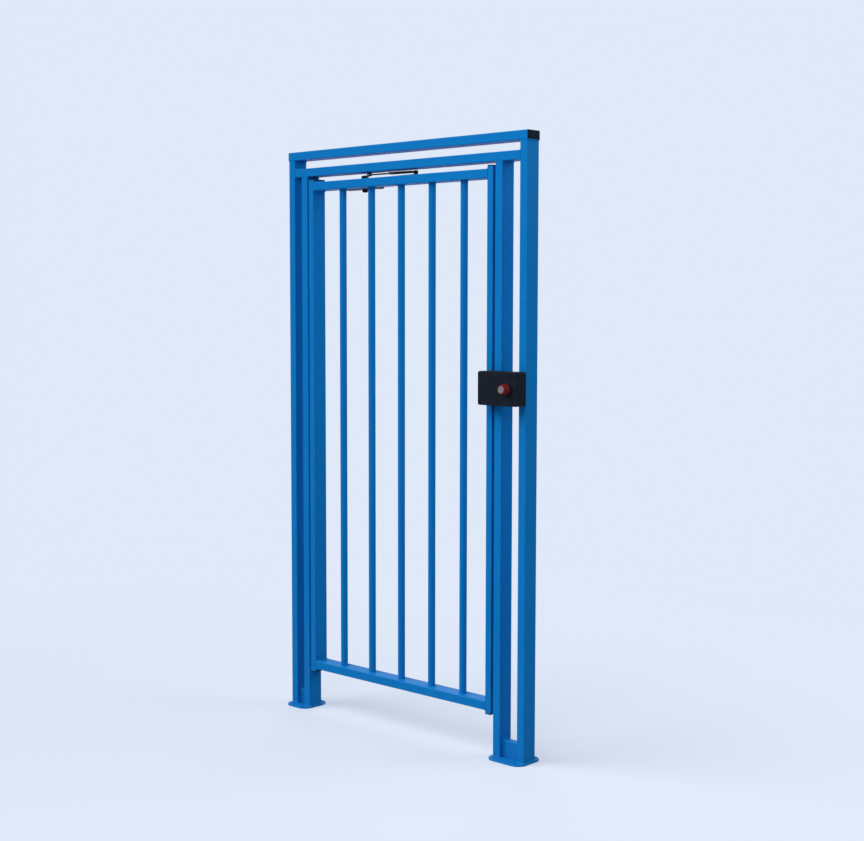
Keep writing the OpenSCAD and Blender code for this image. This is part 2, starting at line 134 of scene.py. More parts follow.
class GateSizes(bpy.types.PropertyGroup):
    """Sizes of the finish that the bare solids don't carry."""

    tube_corner: length("Tube corner", "Outside corner radius of the rectangular tubes", 3 * MM)
    tube_wall: length("Tube wall", "Wall of the tubes and bars", 2 * MM)
    tube_lip: length("Tube lip", "Rounding of a cut tube end", 0.5 * MM)
    plate_corner: length("Plate corner", "Corner radius of the base plates", 38 * MM)
    plate_edge: length("Plate edge", "Rounding of the base plates' upper edges", 1.4 * MM)
    plate_under: length("Plate underside", "Rounding of the base plates' lower edges", 0.4 * MM)
    anchor_radius: length("Anchor hole", "Radius of the anchor holes", 6 * MM)
    anchor_side: length("Anchor side", "Anchor hole to the plate's side edge", 30 * MM)
    anchor_edge: length("Anchor edge", "Anchor hole to the plate's front edge", 17 * MM)
    cap_edge: length("Cap edge", "Rounding of the plastic caps and plugs", 2.4 * MM)
    cap_flange: length("Cap flange", "Thickness of a cap outside its tube", 4 * MM)
    cap_crown: length("Cap crown", "Height of the slight crown on a cap", 0.5 * MM)
    cap_shoulder: length("Cap shoulder", "Depth of the crown halfway to its middle", 0.15 * MM)
    plug_play: length("Plug play", "Gap between a plug and its tube's wall", 0.4 * MM)
    weld_size: length("Weld size", "Leg of the fillet welds", 3.2 * MM)
    weld_flush: length("Flush weld", "Leg of the welds between flush faces", 0.9 * MM)
    weld_pitch: length("Weld ripple", "Distance between two ripples of a weld", 4.2 * MM)
    knuckle_radius: length("Hinge knuckle", "Outside radius of the hinge knuckles", 8 * MM)
    knuckle_edge: length("Knuckle edge", "Rounding of the hinge knuckles' ends", 1.2 * MM)
    hinge_plate: length("Hinge plate", "Thickness of the hinge plates", 4 * MM)
    hinge_corner: length("Hinge corner", "Corner radius of the hinge plates", 1.5 * MM)
    pin_radius: length("Hinge pin", "Radius of the hinge pins", 5 * MM)
    pin_edge: length("Pin edge", "Rounding of the hinge pins' ends", 1.5 * MM)
    closer_edge: length("Closer edge", "Rounding of the closer's two long outer edges", 10 * MM)
    closer_seat: length("Closer seat", "Rounding of the closer's edges against the leaf", 1.5 * MM)
    closer_rim: length("Closer rim", "Rounding of the closer's ends", 2.5 * MM)
    closer_plug: length("Closer plug", "Radius of the closer's end plugs and its boss", 13 * MM)
    plug_proud: length("Plug thickness", "Height of an end plug on the closer's end", 4 * MM)
    pinion_edge: length("Pinion edge", "Rounding of the pinion cap's lower rim", 4 * MM)
    arm_edge: length("Arm edge", "Rounding of the closer's arms", 1.2 * MM)
    arm_thick: length("Arm thickness", "Thickness of the closer's arms", 5 * MM)
    arm_slim: length("Arm end", "Half width of the arms at the elbow", 9 * MM)
    hub_radius: length("Arm hub", "Radius of the main arm round the spindle", 15 * MM)
    hub_edge: length("Hub edge", "Rounding of the hub's upper rim", 1.4 * MM)
    boss_step: length("Boss step", "Step between an arm's edge and the boss on it", 1 * MM)
    spindle_radius: length("Spindle", "Radius of the closer's spindle", 8 * MM)
    spindle_proud: length("Spindle end", "Height of the spindle's end above its hub", 0.4 * MM)
    link_pin: length("Link pin", "Radius of the elbow pin and the shoe pin", 4 * MM)
    link_head: length("Pin head", "Radius of the heads on those pins", 8 * MM)
    link_gap: length("Link gap", "Play between an arm and its pin's head", 0.5 * MM)
    elbow_play: length("Elbow play", "Gap round the elbow pin in the forearm's eye", 0.4 * MM)
    sleeve_length: length("Sleeve length", "Forearm's sleeve from its mouth to the elbow", 125 * MM)
    sleeve_side: length("Sleeve side", "Step between the forearm's eye and its sleeve", 1 * MM)
    sleeve_corner: length("Sleeve corner", "Corner radius of the forearm's sleeve", 2.5 * MM)
    sleeve_mouth: length("Sleeve mouth", "Rounding of the sleeve's open end", 1 * MM)
    sleeve_neck: length("Sleeve neck", "Rounding of the sleeve's end at the elbow", 2.2 * MM)
    rod_radius: length("Rod", "Radius of the forearm's rod", 3 * MM)
    rod_play: length("Rod play", "Gap round the rod in its sleeve", 0.15 * MM)
    rod_grip: length("Rod grip", "Length of the rod inside the sleeve", 25 * MM)
    rod_eye: length("Rod eye", "Radius of the eye on the rod", 11 * MM)
    shoe_flange: length("Shoe flange", "Thickness of the shoe's flange", 3 * MM)
    shoe_head: length("Shoe head", "Thickness of the shoe pin's head", 2.5 * MM)
    shoe_edge: length("Shoe edge", "Rounding of the shoe pin's head", 0.9 * MM)
    lock_corner: length("Lock corner", "Corner radius of the lock case", 6 * MM)
    lock_edge: length("Lock edge", "Rounding of the lock case's front edge", 1.2 * MM)
    cover_edge: length("Cover edge", "Rounding of the lock cover's front edge", 2.2 * MM)
    cover_inset: length("Cover screws", "Cover's screws to its edges", 11 * MM)
    knob_hole: length("Knob hole", "Radius of the hole for the knob's stem", 12.5 * MM)
    collar_bore: length("Collar bore", "Inside radius of the knob's collar", 12.6 * MM)
    collar_edge: length("Collar edge", "Rounding of the collar's front edge", 1.2 * MM)
    knob_flutes: number("Knob flutes", "Grip flutes round the knob", 24)
    knob_flute: length("Flute depth", "Depth of the knob's grip flutes", 0.7 * MM)


class GateFinish(bpy.types.PropertyGroup):
    """Colours of the finishes, as linear values."""

    blue_deep: colour("Blue, deep", "Deeper tone of the blue paint", (0.0042, 0.187, 0.538))
    blue_light: colour("Blue, light", "Lighter tone of the blue paint", (0.0055, 0.198, 0.564))
    blue_worn: colour("Blue, worn", "Rubbed edges of the blue paint", (0.018, 0.235, 0.610))
    dust: colour("Dust", "Dust near the ground", (0.045, 0.180, 0.40))
    plastic: colour("Black plastic", "Caps and plugs", (0.0035, 0.0095, 0.0220))
    enamel: colour("Black enamel", "Closer and its arms", (0.0080, 0.0085, 0.0110))
    lock: colour("Lock black", "Textured coat of the lock", (0.0086, 0.0120, 0.0180))
    black_worn: colour("Black, worn", "Rubbed edges of the black pieces", (0.026, 0.028, 0.033))
    red: colour("Knob red", "Gloss red of the knob", (0.172, 0.0072, 0.0100))
    red_worn: colour("Red, worn", "Rubbed edges of the knob", (0.205, 0.026, 0.030))
    silver: colour("Knob silver", "Turned face of the knob", (0.235, 0.200, 0.205))
    steel: colour("Bare steel", "Rod, spindle and screws", (0.25, 0.23, 0.225))


class GateStage(bpy.types.PropertyGroup):
    """Camera, lamps and background of the picture."""

    camera_place: point("Camera", "Place of the camera", (4.39932, -4.00722, 1.60812))
    camera_yaw: turning("Yaw", "Turn of the camera to the left of straight on", np.radians(42.835))
    camera_pitch: turning("Pitch", "Tilt of the camera below the horizon", np.radians(4.468))
    camera_roll: turning("Roll", "Roll of the camera about its own view", np.radians(-0.078))
    sensor: share("Sensor", "Width of the camera's sensor in millimetres", 36.0)
    lens: share("Lens", "Focal length in millimetres on that sensor", 62.471)
    backdrop: colour("Backdrop", "Pale colour of the floor and the background", (0.745, 0.815, 0.939))
    ambient: share("Ambient", "Strength of the even light from all round", 0.30)
    key: power("Key lamp", "Power of the soft lamp in front", 60.0)
    key_place: point("Key lamp place", "Place of the lamp in front", (2.2, -3.4, 3.8))
    fill: power("Fill lamp", "Power of the soft lamp behind on the right", 48.0)
    fill_place: point("Fill lamp place", "Place of the lamp behind on the right", (3.4, 2.4, 3.4))
    back: power("Back lamp", "Power of the soft lamp behind on the left", 34.0)
    back_place: point("Back lamp place", "Place of the lamp behind on the left", (-2.4, 3.2, 2.8))
    lamp_aim: point("Lamp aim", "Point that the three lamps look at", (0.6, 0.0, 1.3))
    lamp_size: length("Lamp size", "Side of the three square lamps", 2.4)
    broad: share("Broad light", "Strength of the broad light from the front left", 1.84)
    broad_height: turning("Broad light height", "Angle of the broad light above the floor", np.radians(45))
    broad_side: turning("Broad light side", "Its turn to the left of straight on", np.radians(40))
    broad_spread: turning("Broad light spread", "Angle over which the broad light is spread", np.radians(50))
    bounce: share("Floor bounce", "Share of the floor's light that it throws back onto the gate", 0.50)
    shadow_share: share("Shadow", "Share of the floor's shading that the picture keeps", 0.56)
    shadow_near: length("Shadow near", "Distance up to which the floor keeps all its shading", 1.0)
    shadow_far: length("Shadow far", "Distance at which the floor's shading has faded", 3.4)
    floor_half: length("Floor", "Half the width of the floor", 60.0)
    floor_drop: length("Floor drop", "Gap between the floor and the plates", 0.2 * MM)


# Outlines and sections

Outline = namedtuple("Outline", "centre normal radius corner")
Span = namedtuple("Span", "low high middle size")


def angles(steps):
    """Equal steps round a full turn."""
    return np.arange(steps) * FULL_TURN / steps


def rays(angle):
    """Unit vectors in the plane at the given angles."""
    return np.stack([np.cos(angle), np.sin(angle)], axis=1)


def rectangle(width, depth, radius, steps=CORNER_STEPS):
    """Rectangle with round corners: a quarter circle about each corner's own centre. The radius is
    one number or one for each corner, counted anticlockwise from the corner at plus x, plus y."""
    count = len(CORNERS)
    radius = np.repeat(np.broadcast_to(np.asarray(radius, float), count), steps)
    angle = (np.arange(count)[:, None] * QUARTER + np.linspace(0, QUARTER, steps)).ravel()
    corner = np.repeat(CORNERS, steps, axis=0)
    centre = corner * (np.array([width, depth]) / 2 - radius[:, None])
    return Outline(centre, rays(angle), radius, corner)


def circle(radius, steps=ROUND_STEPS):
    """Circle: equal steps of the angle about the origin."""
    middle = np.zeros((steps, 2))
    return Outline(middle, rays(angles(steps)), np.full(steps, float(radius)), middle)


def tapered(reach, near, far, steps=ROUND_STEPS // 2):
    """Two circles on the x axis and their outer tangents: each circle is followed between the
    normals of the tangents, whose angle has the cosine (near - far) / reach."""
    lean = np.arccos((near - far) / reach)
    angle = np.concatenate([np.linspace(-lean, lean, steps), np.linspace(lean, FULL_TURN - lean, steps)])
    centre = np.zeros((2 * steps, 2))
    centre[:steps, 0] = reach
    radius = np.repeat([far, near], steps).astype(float)
    return Outline(centre, rays(angle), radius, np.zeros_like(centre))


def raised(flat, heights):
    """Flat rings, each set at its height."""
    level = np.broadcast_to(np.asarray(heights, float)[:, None, None], flat.shape[:2] + (1,))
    return np.concatenate([flat, level], axis=2)


def rings(shape, section):
    """One ring for each (inset, height) pair of the section. A point is its corner's centre plus what
    the inset leaves of the radius along the outward normal; past the radius the corner moves in."""
    inset, height = np.asarray(section, float).T
    slack = (shape.radius - inset[:, None])[..., None]
    flat = shape.centre + np.maximum(slack, 0) * shape.normal + np.minimum(slack, 0) * shape.corner
    return raised(flat, height)


def polar_rings(radii, heights, steps):
    """Rings about the z axis: at each angle the ring's radius there along the unit vector."""
    return raised(np.asarray(radii, float)[..., None] * rays(angles(steps)), heights)


def soft_rims(low, high, low_edge, high_edge=None):
    """Section of a block from low to high: both rims are quarter circles, so the inset falls as
    edge * (1 - sin t) while the height grows as edge * (1 - cos t)."""
    high_edge = low_edge if high_edge is None else high_edge
    turn = np.linspace(0, QUARTER, CORNER_STEPS)
    inset, rise = 1 - np.sin(turn), 1 - np.cos(turn)
    below = np.stack([low_edge * inset, low + low_edge * rise], axis=1)
    above = np.stack([high_edge * inset, high - high_edge * rise], axis=1)
    return np.vstack([below, above[::-1]])


def soft_disc(radius, *rims):
    """Profile of a round disc with rounded rims: the radius less the inset of the rims' section."""
    return soft_rims(*rims) * (-1, 1) + (radius, 0)


def arc(centre, radius, start, end):
    """Points of an arc from one angle to another, both in degrees."""
    angle = np.radians(np.linspace(start, end, CORNER_STEPS))
    return np.asarray(centre, float) + radius * rays(angle)


def skin(rows, loop=False):
    """Quads between each ring and the next. A loop joins the last ring to the first; otherwise the
    two ends close on the mean point of their ring."""
    count, around = rows.shape[:2]
    ring = np.arange(count if loop else count - 1)[:, None]
    step = np.arange(around)
    after = (step + 1) % around
    upper = (ring + 1) % count
    quads = np.stack(
        [ring * around + step, ring * around + after, upper * around + after, upper * around + step], axis=-1
    ).reshape(-1, 4)
    points = rows.reshape(-1, 3)
    if loop:
        return points, quads.tolist()
    low, high = len(points), len(points) + 1
    points = np.vstack([points, rows[0].mean(axis=0), rows[-1].mean(axis=0)])
    last = (count - 1) * around
    below = np.stack([np.full(around, low), after, step], axis=1)
    above = np.stack([np.full(around, high), last + step, last + after], axis=1)
    return points, quads.tolist() + below.tolist() + above.tolist()


def put(part, origin, axes=UP):
    """Places a part: each point's coordinates are carried along the three axes from the origin."""
    points, faces = part
    return points @ axes + np.asarray(origin, float), faces


def block(shape, section, origin, axes=UP):
    """Solid with one outline all the way up: the outline's rings along the section."""
    return put(skin(rings(shape, section)), origin, axes)


def drilling(radius, low, high, origin, axes=UP, steps=HOLE_STEPS):
    """Round core of a hole from low to high along the axis."""
    return block(circle(radius, steps), [(0, low), (0, high)], origin, axes)


def turned(profile, origin, axes=UP, steps=ROUND_STEPS, loop=False):
    """Solid of revolution: each (radius, height) pair of the profile is a circle about the axis."""
    profile = np.asarray(profile, float)
    return put(skin(polar_rings(profile[:, :1], profile[:, 1], steps), loop), origin, axes)


def pipe(shape, long, sizes, middle, axes=UP):
    """Tube about its middle: the outline's outer wall up and its inner wall down, as one closed
    section with a round lip at each end."""
    outer = soft_rims(-long / 2, long / 2, sizes.tube_lip)
    inner = (outer * (-1, 1) + (sizes.tube_wall, 0))[::-1]
    return put(skin(rings(shape, np.vstack([outer, inner])), loop=True), middle, axes)


def hexagon(across, steps):
    """Radius of a hexagon at each step: half the width across flats over the cosine of the angle
    from the middle of the nearest flat."""
    sixth = FULL_TURN / 6
    return across / 2 / np.cos((angles(steps) + sixth / 2) % sixth - sixth / 2)


# Radius and height of each kind of screw head
SCREWS = {
    "fixing": (4.5 * MM, 2.6 * MM), "valve": (4 * MM, 1.8 * MM), "clamp": (3.2 * MM, 2 * MM),
    "spindle": (5 * MM, 2.2 * MM), "cover": (3.6 * MM, 1.9 * MM),
}

# Shares of a screw head's height: its dome, and the end of its socket's chamfer and the socket's floor
DOME, CHAMFER_END, SOCKET_FLOOR = 0.45, 0.93, 0.4

# Socket's width across flats over the head's radius, and its mouth over the socket
SOCKET_WIDTH, SOCKET_MOUTH = 0.9, 1.06


def socket_screw(kind, origin, axes):
    """Button head screw: a domed rim, then a hexagonal socket down to a share of its height."""
    radius, height = SCREWS[kind]
    dome = soft_disc(radius, -FINE, height, TIGHT, DOME * height)
    socket = hexagon(SOCKET_WIDTH * radius, SCREW_STEPS)
    outside = np.repeat(dome[:, :1], SCREW_STEPS, axis=1)
    radii = np.vstack([outside, SOCKET_MOUTH * socket, socket, socket])
    heights = [*dome[:, 1], height, CHAMFER_END * height, SOCKET_FLOOR * height]
    return put(skin(polar_rings(radii, heights, SCREW_STEPS)), origin, axes)


# Rings in one ripple of a weld and points round its bead
RIPPLE_RINGS, BEAD_STEPS = 6, 10

# Depth of a ripple as a share of the bead, and how far it bends back across the bead
RIPPLE_DEPTH, RIPPLE_BEND = 0.16, 0.35

# Slow swings of a bead's size: share, turns of the seed and radians for each metre
BEAD_SWINGS = ((0.06, 1.0, 61.0), (0.04, 2.3, 187.0))


def weld(shape, origin, axes, leg, pitch, seed):
    """Weld bead: a circle of radius leg carried round an outline. The radius ripples along the path as
    1 - depth * (1 - |cos|), and each ripple bends back across the bead like a scale."""
    edge = shape.centre + shape.radius[:, None] * shape.normal
    closed = np.vstack([edge, edge[:1]])
    travel = np.concatenate([[0], np.cumsum(np.linalg.norm(np.diff(closed, axis=0), axis=1))])
    ripples = int(np.ceil(travel[-1] / pitch))
    along = np.arange(ripples * RIPPLE_RINGS) * travel[-1] / (ripples * RIPPLE_RINGS)
    facing = np.vstack([shape.normal, shape.normal[:1]])
    path, out = (
        np.stack([np.interp(along, travel, column) for column in rows.T], axis=1) for rows in (closed, facing)
    )
    out /= np.linalg.norm(out, axis=1, keepdims=True)
    turn = angles(BEAD_STEPS)
    phase = np.pi * (along[:, None] * ripples / travel[-1] + RIPPLE_BEND * np.cos(turn - QUARTER / 2))
    swing = 1 + sum(part * np.sin(turns * seed + along * rate) for part, turns, rate in BEAD_SWINGS)
    size = (leg(out) * swing)[:, None] * (1 - RIPPLE_DEPTH * (1 - np.abs(np.cos(phase))))
    flat = path[:, None, :] + (size * np.cos(turn))[..., None] * out[:, None, :]
    rows = np.concatenate([flat, (size * np.sin(turn))[..., None]], axis=2)
    return put(skin(rows[::-1], loop=True), origin, axes)


# Meshes and pieces

def new_mesh(name, parts):
    """Mesh of all the parts, with doubled points at poles and corners merged."""
    start = np.cumsum([0] + [len(points) for points, _ in parts])
    faces = [[corner + first for corner in face] for (_, some), first in zip(parts, start) for face in some]
    mesh = bpy.data.meshes.new(name)
    mesh.from_pydata(np.vstack([points for points, _ in parts]).tolist(), [], faces)
    work = bmesh.new()
    work.from_mesh(mesh)
    bmesh.ops.remove_doubles(work, verts=work.verts, dist=MERGE)
    bmesh.ops.dissolve_degenerate(work, edges=work.edges, dist=MERGE)
    work.to_mesh(mesh)
    work.free()
    return mesh


def new_object(name, data):
    """Object of some data, linked into the scene."""
    made = bpy.data.objects.new(name, data)
    bpy.context.scene.collection.objects.link(made)
    return made


def values_of(items, key, kind, width=1):
    """One property of all items as an array with a row for each item."""
    values = np.empty(len(items) * width, kind)
    items.foreach_get(key, values)
    return values if width == 1 else values.reshape(-1, width)


def mark_edges(mesh):
    """Writes the wear attribute. Each edge between two faces bends by the angle between their normals;
    a point takes the largest outward bend that meets there, and a flat or a sharp edge counts as none."""
    edge_of = values_of(mesh.loops, "edge_index", np.int32)
    total = values_of(mesh.polygons, "loop_total", np.int32)
    normal = values_of(mesh.polygons, "normal", np.float32, 3)
    middle = values_of(mesh.polygons, "center", np.float32, 3)
    ends = values_of(mesh.edges, "vertices", np.int32, 2)
    order = np.argsort(edge_of, kind="stable")
    face = np.repeat(np.arange(len(total)), total)[order]
    edge, first, count = np.unique(edge_of[order], return_index=True, return_counts=True)
    edge, first = edge[count == 2], first[count == 2]
    one, other = face[first], face[first + 1]
    bend = np.arccos(np.clip((normal[one] * normal[other]).sum(axis=1), -1, 1))
    outward = ((middle[other] - middle[one]) * normal[one]).sum(axis=1) < 0
    start, full, sharp = WEAR_BENDS
    worn = np.where(outward & (bend < sharp), np.clip((bend - start) / (full - start), 0, 1), 0)
    value = np.zeros(len(mesh.vertices), np.float32)
    np.maximum.at(value, ends[edge].ravel(), np.repeat(worn, 2))
    mesh.attributes.new(WEAR, "FLOAT", "POINT").data.foreach_set("value", value)


def drill(piece, holes):
    """Cuts the holes out of the piece's mesh and keeps the result as its mesh."""
    drills = new_object("drill", new_mesh("drill", holes))
    cut = piece.modifiers.new("Holes", "BOOLEAN")
    cut.operation = "DIFFERENCE"
    cut.solver = "EXACT"
    cut.object = drills
    solved = piece.evaluated_get(bpy.context.evaluated_depsgraph_get())
    blank = piece.data
    piece.data = bpy.data.meshes.new_from_object(solved)
    piece.modifiers.remove(cut)
    bpy.data.meshes.remove(blank)
    bpy.data.meshes.remove(drills.data)


def make_piece(name, kind, parts, node=None, body=None, holes=()):
    """Object at the origin from its parts, less its holes, smooth up to the sharp angle. It stands for
    a node and rides on that node's body, or it stands for none and rides on the body given."""
    piece = new_object(name, new_mesh(name, parts))
    if holes:
        drill(piece, holes)
    slot, maker = KINDS[kind]
    mark_edges(piece.data)
    piece.data.shade_smooth()
    piece.data.set_sharp_from_angle(angle=SHARP_ANGLE)
    piece.data.materials.clear()
    piece.data.materials.append(finish_from(maker))
    even = piece.modifiers.new("Even shading", "WEIGHTED_NORMAL")
    even.keep_sharp = True
    even.weight = 100
    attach(piece, body or body_of(node))
    if node:
        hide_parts(node)


def span(node):
    """Lowest corner, highest corner, middle and size of a node, as arrays."""
    low, high = (np.array(corner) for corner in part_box(node))
    return Span(low, high, (low + high) / 2, high - low)


def joint_place(name):
    """Place of a joint's axis in the gate's frame."""
    return np.array(next(joint["pos_m"] for joint in frame["joints"] if joint["name"] == name))


def body_of(node):
    """Name of the body that carries a node."""
    groups = frame["record"]["behaviour"]["bodies"]
    return next(name for name, members in groups.items() if node in members)


# Finishes

# Range that most of a noise texture's values lie in
NOISE_RANGE = (0.3, 0.7)

# Where a colour Mix node has its factor, its two colours and its result
MIX_INPUTS, MIX_RESULT = (0, 6, 7), 2

# Rubbed edges: noise scale and detail, noise range, and share of the edge that is rubbed
RUB_GRAIN, RUB_DETAIL, RUB_NOISE, RUB_SHARE = 55.0, 5.0, (0.42, 0.64), (0.08, 0.85)

# Dust: noise scale and detail, noise range, range of heights and share of dust at their ends
DUST_GRAIN, DUST_DETAIL, DUST_NOISE = 38.0, 6.0, (0.42, 0.72)
DUST_HEIGHT, DUST_SHARE = (0.0, 0.35), (0.22, 0.0)

# Detail of a coat's fine grain, and how far the roughness of a coat and of drawn steel swings to each side
GRAIN_DETAIL, COAT_SWING, STEEL_SWING = 2.0, 0.06, 0.08

# Deeper and lighter tone of a finish as shares of its colour
RED_TONES, STEEL_TONES, SILVER_TONES = (0.85, 1.15), (0.78, 1.12), (0.85, 1.1)

# Drawn lines of the steel along x, y and z, in lines for each metre, and their detail
STEEL_LINES, STEEL_DETAIL = (60.0, 2600.0, 2600.0), 4.0

# Turned rings of the knob's face: distance between two, roughness, and grain of the tone
RING_PITCH, RING_ROUGH, SILVER_GRAIN = 0.55 * MM, (0.30, 0.46), 420.0


def nodes_of(name):
    """New material with an output and a principled shader, its tree ready for more nodes."""
    finish = bpy.data.materials.new(name)
    finish.use_nodes = True
    tree = finish.node_tree
    return finish, tree, tree.nodes["Principled BSDF"]


def feed(tree, socket, value):
    """Gives a socket another node's output, or else a constant."""
    if isinstance(value, bpy.types.NodeSocket):
        tree.links.new(value, socket)
    else:
        socket.default_value = value


def wire(tree, node, **inputs):
    """Feeds a node's inputs by name, with _ for a space."""
    for key, value in inputs.items():
        feed(tree, node.inputs[key.replace("_", " ")], value)


def add(tree, kind, settings=None, **inputs):
    """Node of a kind with its settings and its inputs."""
    made = tree.nodes.new(kind)
    for key, value in (settings or {}).items():
        setattr(made, key, value)
    wire(tree, made, **inputs)
    return made


def maths(tree, operation, *values):
    """Result of a calculation on one or two values."""
    made = add(tree, "ShaderNodeMath", {"operation": operation})
    for socket, value in zip(made.inputs, values):
        feed(tree, socket, value)
    return made.outputs[0]


def object_place(tree, scale=(1, 1, 1), centre=(0, 0, 0)):
    """Object coordinates from a centre, stretched by a scale."""
    where = add(tree, "ShaderNodeTexCoord").outputs["Object"]
    shift = tuple(-c * s for c, s in zip(centre, scale))
    return add(tree, "ShaderNodeMapping", Vector=where, Location=shift, Scale=scale).outputs["Vector"]


def distance(tree, place):
    """Length of a vector."""
    return add(tree, "ShaderNodeVectorMath", {"operation": "LENGTH"}, Vector=place).outputs["Value"]


def cloud(tree, place, scale, detail=3.0):
    """Noise value over the surface."""
    return add(tree, "ShaderNodeTexNoise", Vector=place, Scale=scale, Detail=detail).outputs["Fac"]


def spread(tree, value, to=(0, 1), source=NOISE_RANGE):
    """Value carried from its source range to another and held within it."""
    made = add(
        tree, "ShaderNodeMapRange", Value=value,
        From_Min=source[0], From_Max=source[1], To_Min=to[0], To_Max=to[1],
    )
    return made.outputs["Result"]


def opaque(tone, strength=1.0):
    """Colour at a strength, with full opacity."""
    return (*(min(1.0, c * strength) for c in tone), 1)


def tones(colour, shares):
    """Deeper and lighter tone of a colour."""
    return [opaque(colour, strength) for strength in shares]


def mixed(tree, factor, first, second):
    """Colour between two others."""
    made = add(tree, "ShaderNodeMix", {"data_type": "RGBA"})
    for index, value in zip(MIX_INPUTS, (factor, first, second)):
        feed(tree, made.inputs[index], value)
    return made.outputs[MIX_RESULT]


def rubbed(tree, place):
    """Share of wear: the edge attribute, broken up by noise so that the rubbed line comes and goes."""
    edge = add(tree, "ShaderNodeAttribute", {"attribute_name": WEAR}).outputs["Fac"]
    noise = cloud(tree, place, RUB_GRAIN, RUB_DETAIL)
    return maths(tree, "MULTIPLY", edge, spread(tree, noise, RUB_SHARE, RUB_NOISE))


def relief(tree, height, depth):
    """Normal of a bump of a real depth."""
    return add(tree, "ShaderNodeBump", Height=height, Distance=depth, Strength=1.0).outputs["Normal"]


def coat(name, deep, light, worn, patch, grain, depth, rough, specular):
    """Sprayed or moulded surface: two tones in soft patches, rubbed edges, and a fine grain in relief
    and in the gloss."""
    finish, tree, shader = nodes_of(name)
    place = object_place(tree)
    patches = spread(tree, cloud(tree, place, patch))
    fine = cloud(tree, place, grain, GRAIN_DETAIL)
    tone = mixed(tree, rubbed(tree, place), mixed(tree, patches, deep, light), opaque(worn))
    wire(
        tree, shader, Base_Color=tone, Specular_IOR_Level=specular, Normal=relief(tree, fine, depth),
        Roughness=spread(tree, fine, (rough - COAT_SWING, rough + COAT_SWING)),
    )
    return finish, tree, shader, tone


def blue_paint(look, name="blue_powder_coat", grain=520.0, depth=0.02 * MM):
    """Satin powder coat: fine orange peel, soft patches of tone and a little dust near the ground."""
    finish, tree, shader, tone = coat(
        name, opaque(look.blue_deep), opaque(look.blue_light), look.blue_worn,
        patch=2.6, grain=grain, depth=depth, rough=0.46, specular=0.035,
    )
    place = object_place(tree)
    height = add(tree, "ShaderNodeSeparateXYZ", Vector=place).outputs["Z"]
    low = spread(tree, height, DUST_SHARE, DUST_HEIGHT)
    specks = spread(tree, cloud(tree, place, DUST_GRAIN, DUST_DETAIL), source=DUST_NOISE)
    dusty = mixed(tree, maths(tree, "MULTIPLY", low, specks), tone, opaque(look.dust))
    wire(tree, shader, Base_Color=dusty, Specular_Tint=opaque(look.blue_worn))
    return finish


def weld_paint(look):
    """The same coat where it lies over the welds, with a coarser grain."""
    return blue_paint(look, "blue_powder_coat_on_welds", grain=300.0, depth=0.05 * MM)


def black(look, name, tone, contrast, **surface):
    """One of the black finishes, with a lighter tone in its patches and grey rubbed edges."""
    return coat(name, *tones(tone, (1, contrast)), look.black_worn, **surface)[0]


def black_plastic(look):
    """Moulded black plastic with a fine spark grain."""
    return black(
        look, "black_moulded_plastic", look.plastic, contrast=1.5,
        patch=30.0, grain=900.0, depth=0.06 * MM, rough=0.60, specular=0.025,
    )


def black_enamel(look):
    """Stoved black enamel on the closer."""
    return black(
        look, "black_stoved_enamel", look.enamel, contrast=1.6,
        patch=22.0, grain=420.0, depth=0.03 * MM, rough=0.42, specular=0.12,
    )


def lock_coat(look):
    """Textured black coat on the lock's sheet metal."""
    return black(
        look, "black_textured_coat", look.lock, contrast=1.5,
        patch=16.0, grain=640.0, depth=0.14 * MM, rough=0.58, specular=0.025,
    )


def red_plastic(look):
    """Gloss red plastic, a little uneven in tone."""
    finish, tree, shader, _ = coat(
        "red_gloss_plastic", *tones(look.red, RED_TONES), look.red_worn,
        patch=45.0, grain=380.0, depth=0.012 * MM, rough=0.34, specular=0.06,
    )
    wire(tree, shader, Coat_Weight=0.03, Coat_Roughness=0.15)
    return finish


def bare_steel(look):
    """Drawn steel: noise stretched along the forearm's rod sets the tone, the gloss and the relief."""
    finish, tree, shader = nodes_of("drawn_steel")
    lines = cloud(tree, object_place(tree, STEEL_LINES), 1.0, STEEL_DETAIL)
    rough = 0.38
    wire(
        tree, shader, Metallic=1.0, Normal=relief(tree, lines, 0.02 * MM),
        Base_Color=mixed(tree, spread(tree, lines), *tones(look.steel, STEEL_TONES)),
        Roughness=spread(tree, lines, (rough - STEEL_SWING, rough + STEEL_SWING)),
    )
    return finish


def turned_silver(look):
    """Silver face turned in a lathe: a sine of the distance from the knob's own axis sets the gloss
    and the relief, and fine noise the tone."""
    finish, tree, shader = nodes_of("turned_silver")
    away = distance(tree, object_place(tree, (1, 0, 1), span("push_knob_face").middle))
    ripple = maths(tree, "SINE", maths(tree, "MULTIPLY", away, FULL_TURN / RING_PITCH))
    specks = spread(tree, cloud(tree, object_place(tree), SILVER_GRAIN))
    wire(
        tree, shader, Metallic=1.0, Normal=relief(tree, ripple, 0.02 * MM),
        Base_Color=mixed(tree, specks, *tones(look.silver, SILVER_TONES)),
        Roughness=spread(tree, ripple, RING_ROUGH, (-1, 1)),
    )
    return finish


# Material slot and finish of each kind of piece
KINDS = {
    "blue": ("blue_paint", blue_paint),
    "weld": ("blue_paint", weld_paint),
    "plastic": ("black_plastic", black_plastic),
    "lock_plastic": ("lock_black", black_plastic),
    "enamel": ("closer_black", black_enamel),
    "lock": ("lock_black", lock_coat),
    "red": ("red_plastic", red_plastic),
    "silver": ("knob_silver", turned_silver),
    "steel": ("bare_steel", bare_steel),
}
FINISHES = {}


def finish_from(maker):
    """Material of a finish, made once."""
    if maker not in FINISHES:
        FINISHES[maker] = maker(bpy.context.scene.gate_finish)
    return FINISHES[maker]


# Pieces

